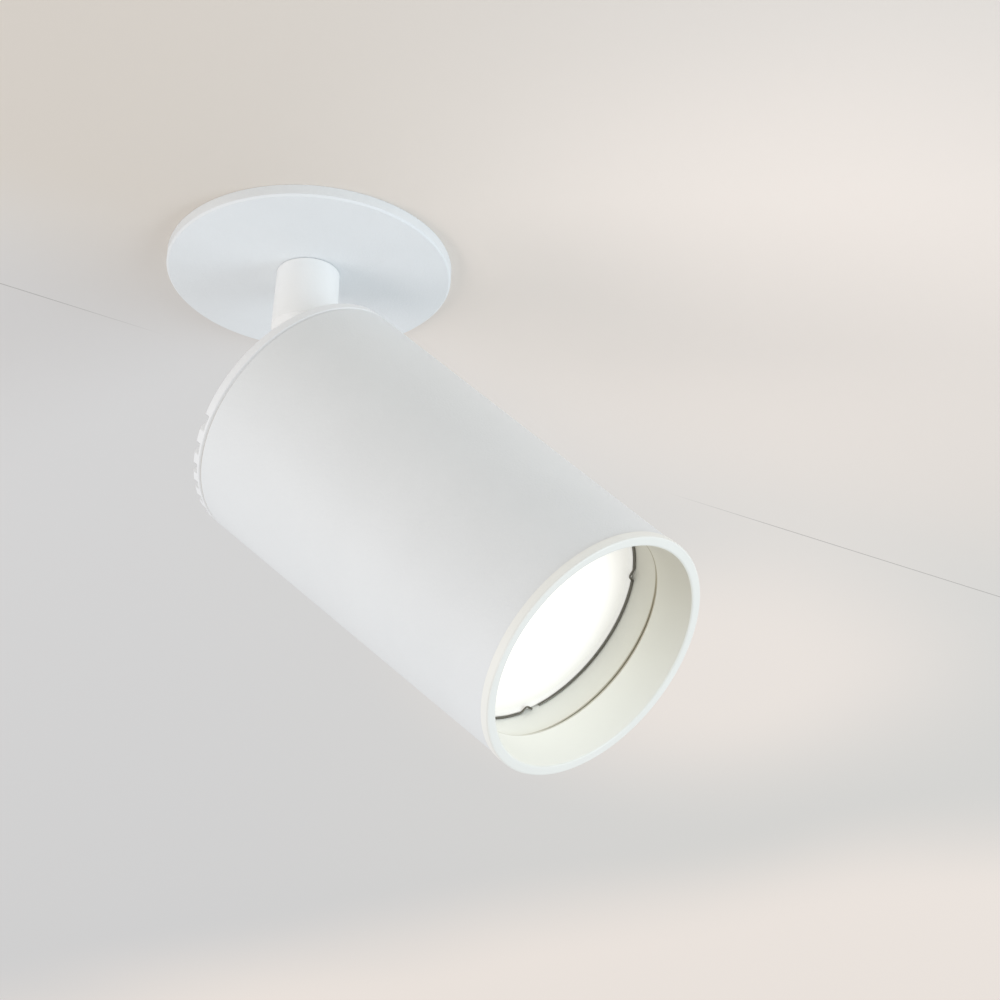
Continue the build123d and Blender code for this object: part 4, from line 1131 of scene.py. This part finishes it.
    def make_light(self, scene, stage):
        """Even pale light from all round, two wide soft lamps from below, one warm and one cool,
        and one above the ceiling."""
        world = bpy.data.worlds.new("pale_room")
        world.use_nodes = True
        world.node_tree.nodes.clear()
        sky = add_node(
            world.node_tree, "ShaderNodeBackground",
            {"Color": rgba(linear(0xFBFCFD)), "Strength": stage.world},
        )
        add_node(world.node_tree, "ShaderNodeOutputWorld", links={"Surface": sky.outputs[0]})
        scene.world = world
        # Name, place and width in metres, power in watts, colour
        lamps = [
            ("soft_lamp_left", (-0.75, 0.85, -0.75), 0.8, 5.2, 0xFFF6F3),
            ("soft_lamp_right", (0.0, -1.15, -0.40), 0.6, 5.3, 0xE6F4FF),
            ("soft_lamp_above", (-0.5, -0.6, 0.9), 0.7, 4.0, 0xFFFFFF),
        ]
        for name, place, width, power, colour in lamps:
            lamp = bpy.data.lights.new(name, "AREA")
            lamp.color = linear(colour)
            lamp.shape = "DISK"
            lamp.size = width
            lamp.energy = power
            # A lamp shines against its own third axis, towards the tilt hinge
            backwards = unit(np.array(place) - PIVOT)
            across = unit(np.cross((0.0, 0.0, 1.0), backwards))
            axes = np.stack([across, np.cross(backwards, across), backwards])
            stand(scene, lamp, place, axes)

    def make_camera(self, scene, stage):
        """The camera below the ceiling, worked out from the outlines of the plate, the tube and
        the mouth."""
        place = np.array([-852.14, -399.65, -598.82]) * MM
        right = np.array([0.353760, -0.933959, 0.050744])
        down = np.array([0.483515, 0.136164, -0.864681])
        forward = np.array([0.800667, 0.330425, 0.499752])
        data = bpy.data.cameras.new("camera_below")
        data.sensor_width = 36.0
        data.lens = stage.lens
        data.clip_start = 0.05
        data.clip_end = 50.0
        scene.camera = stand(scene, data, place, np.stack([right, -down, -forward]))


class SPOT_PT_panel(bpy.types.Panel):
    """Lists the settings, and a button for each group of pieces and for the stage."""

    bl_idname = "SPOT_PT_panel"
    bl_label = "Ceiling Spot"
    bl_space_type = "VIEW_3D"
    bl_region_type = "UI"
    bl_category = "Ceiling Spot"

    def draw(self, context):
        for group in GROUPS:
            box = self.layout.box()
            settings = getattr(context.scene, group)
            for field in settings.__annotations__:
                box.prop(settings, field)
        for operator in OPERATORS:
            self.layout.operator(operator.bl_idname)


GROUPS = {"spot_sizes": SpotSizes, "spot_colours": SpotColours, "spot_stage": SpotStage}
OPERATORS = (
    SPOT_OT_fixed_parts,
    SPOT_OT_head_tube,
    SPOT_OT_front_ring,
    SPOT_OT_lamp_sleeve,
    SPOT_OT_wire_ring,
    SPOT_OT_lamp_lens,
    SPOT_OT_clip_springs,
    SPOT_OT_stage,
)


def register():
    """Registers the settings, the operators and the panel."""
    for name, group in GROUPS.items():
        bpy.utils.register_class(group)
        setattr(bpy.types.Scene, name, PointerProperty(type=group))
    for operator in OPERATORS:
        bpy.utils.register_class(operator)
    bpy.utils.register_class(SPOT_PT_panel)


def unregister():
    """Takes the panel, the operators and the settings away again."""
    bpy.utils.unregister_class(SPOT_PT_panel)
    for operator in reversed(OPERATORS):
        bpy.utils.unregister_class(operator)
    for name, group in GROUPS.items():
        delattr(bpy.types.Scene, name)
        bpy.utils.unregister_class(group)


def main():
    """Builds the pieces in order."""
    register()
    bpy.ops.spot.fixed_parts()
    bpy.ops.spot.head_tube()
    bpy.ops.spot.front_ring()
    bpy.ops.spot.lamp_sleeve()
    bpy.ops.spot.wire_ring()
    bpy.ops.spot.lamp_lens()
    bpy.ops.spot.clip_springs()
    bpy.ops.spot.stage()


if __name__ == "__main__":
    main()
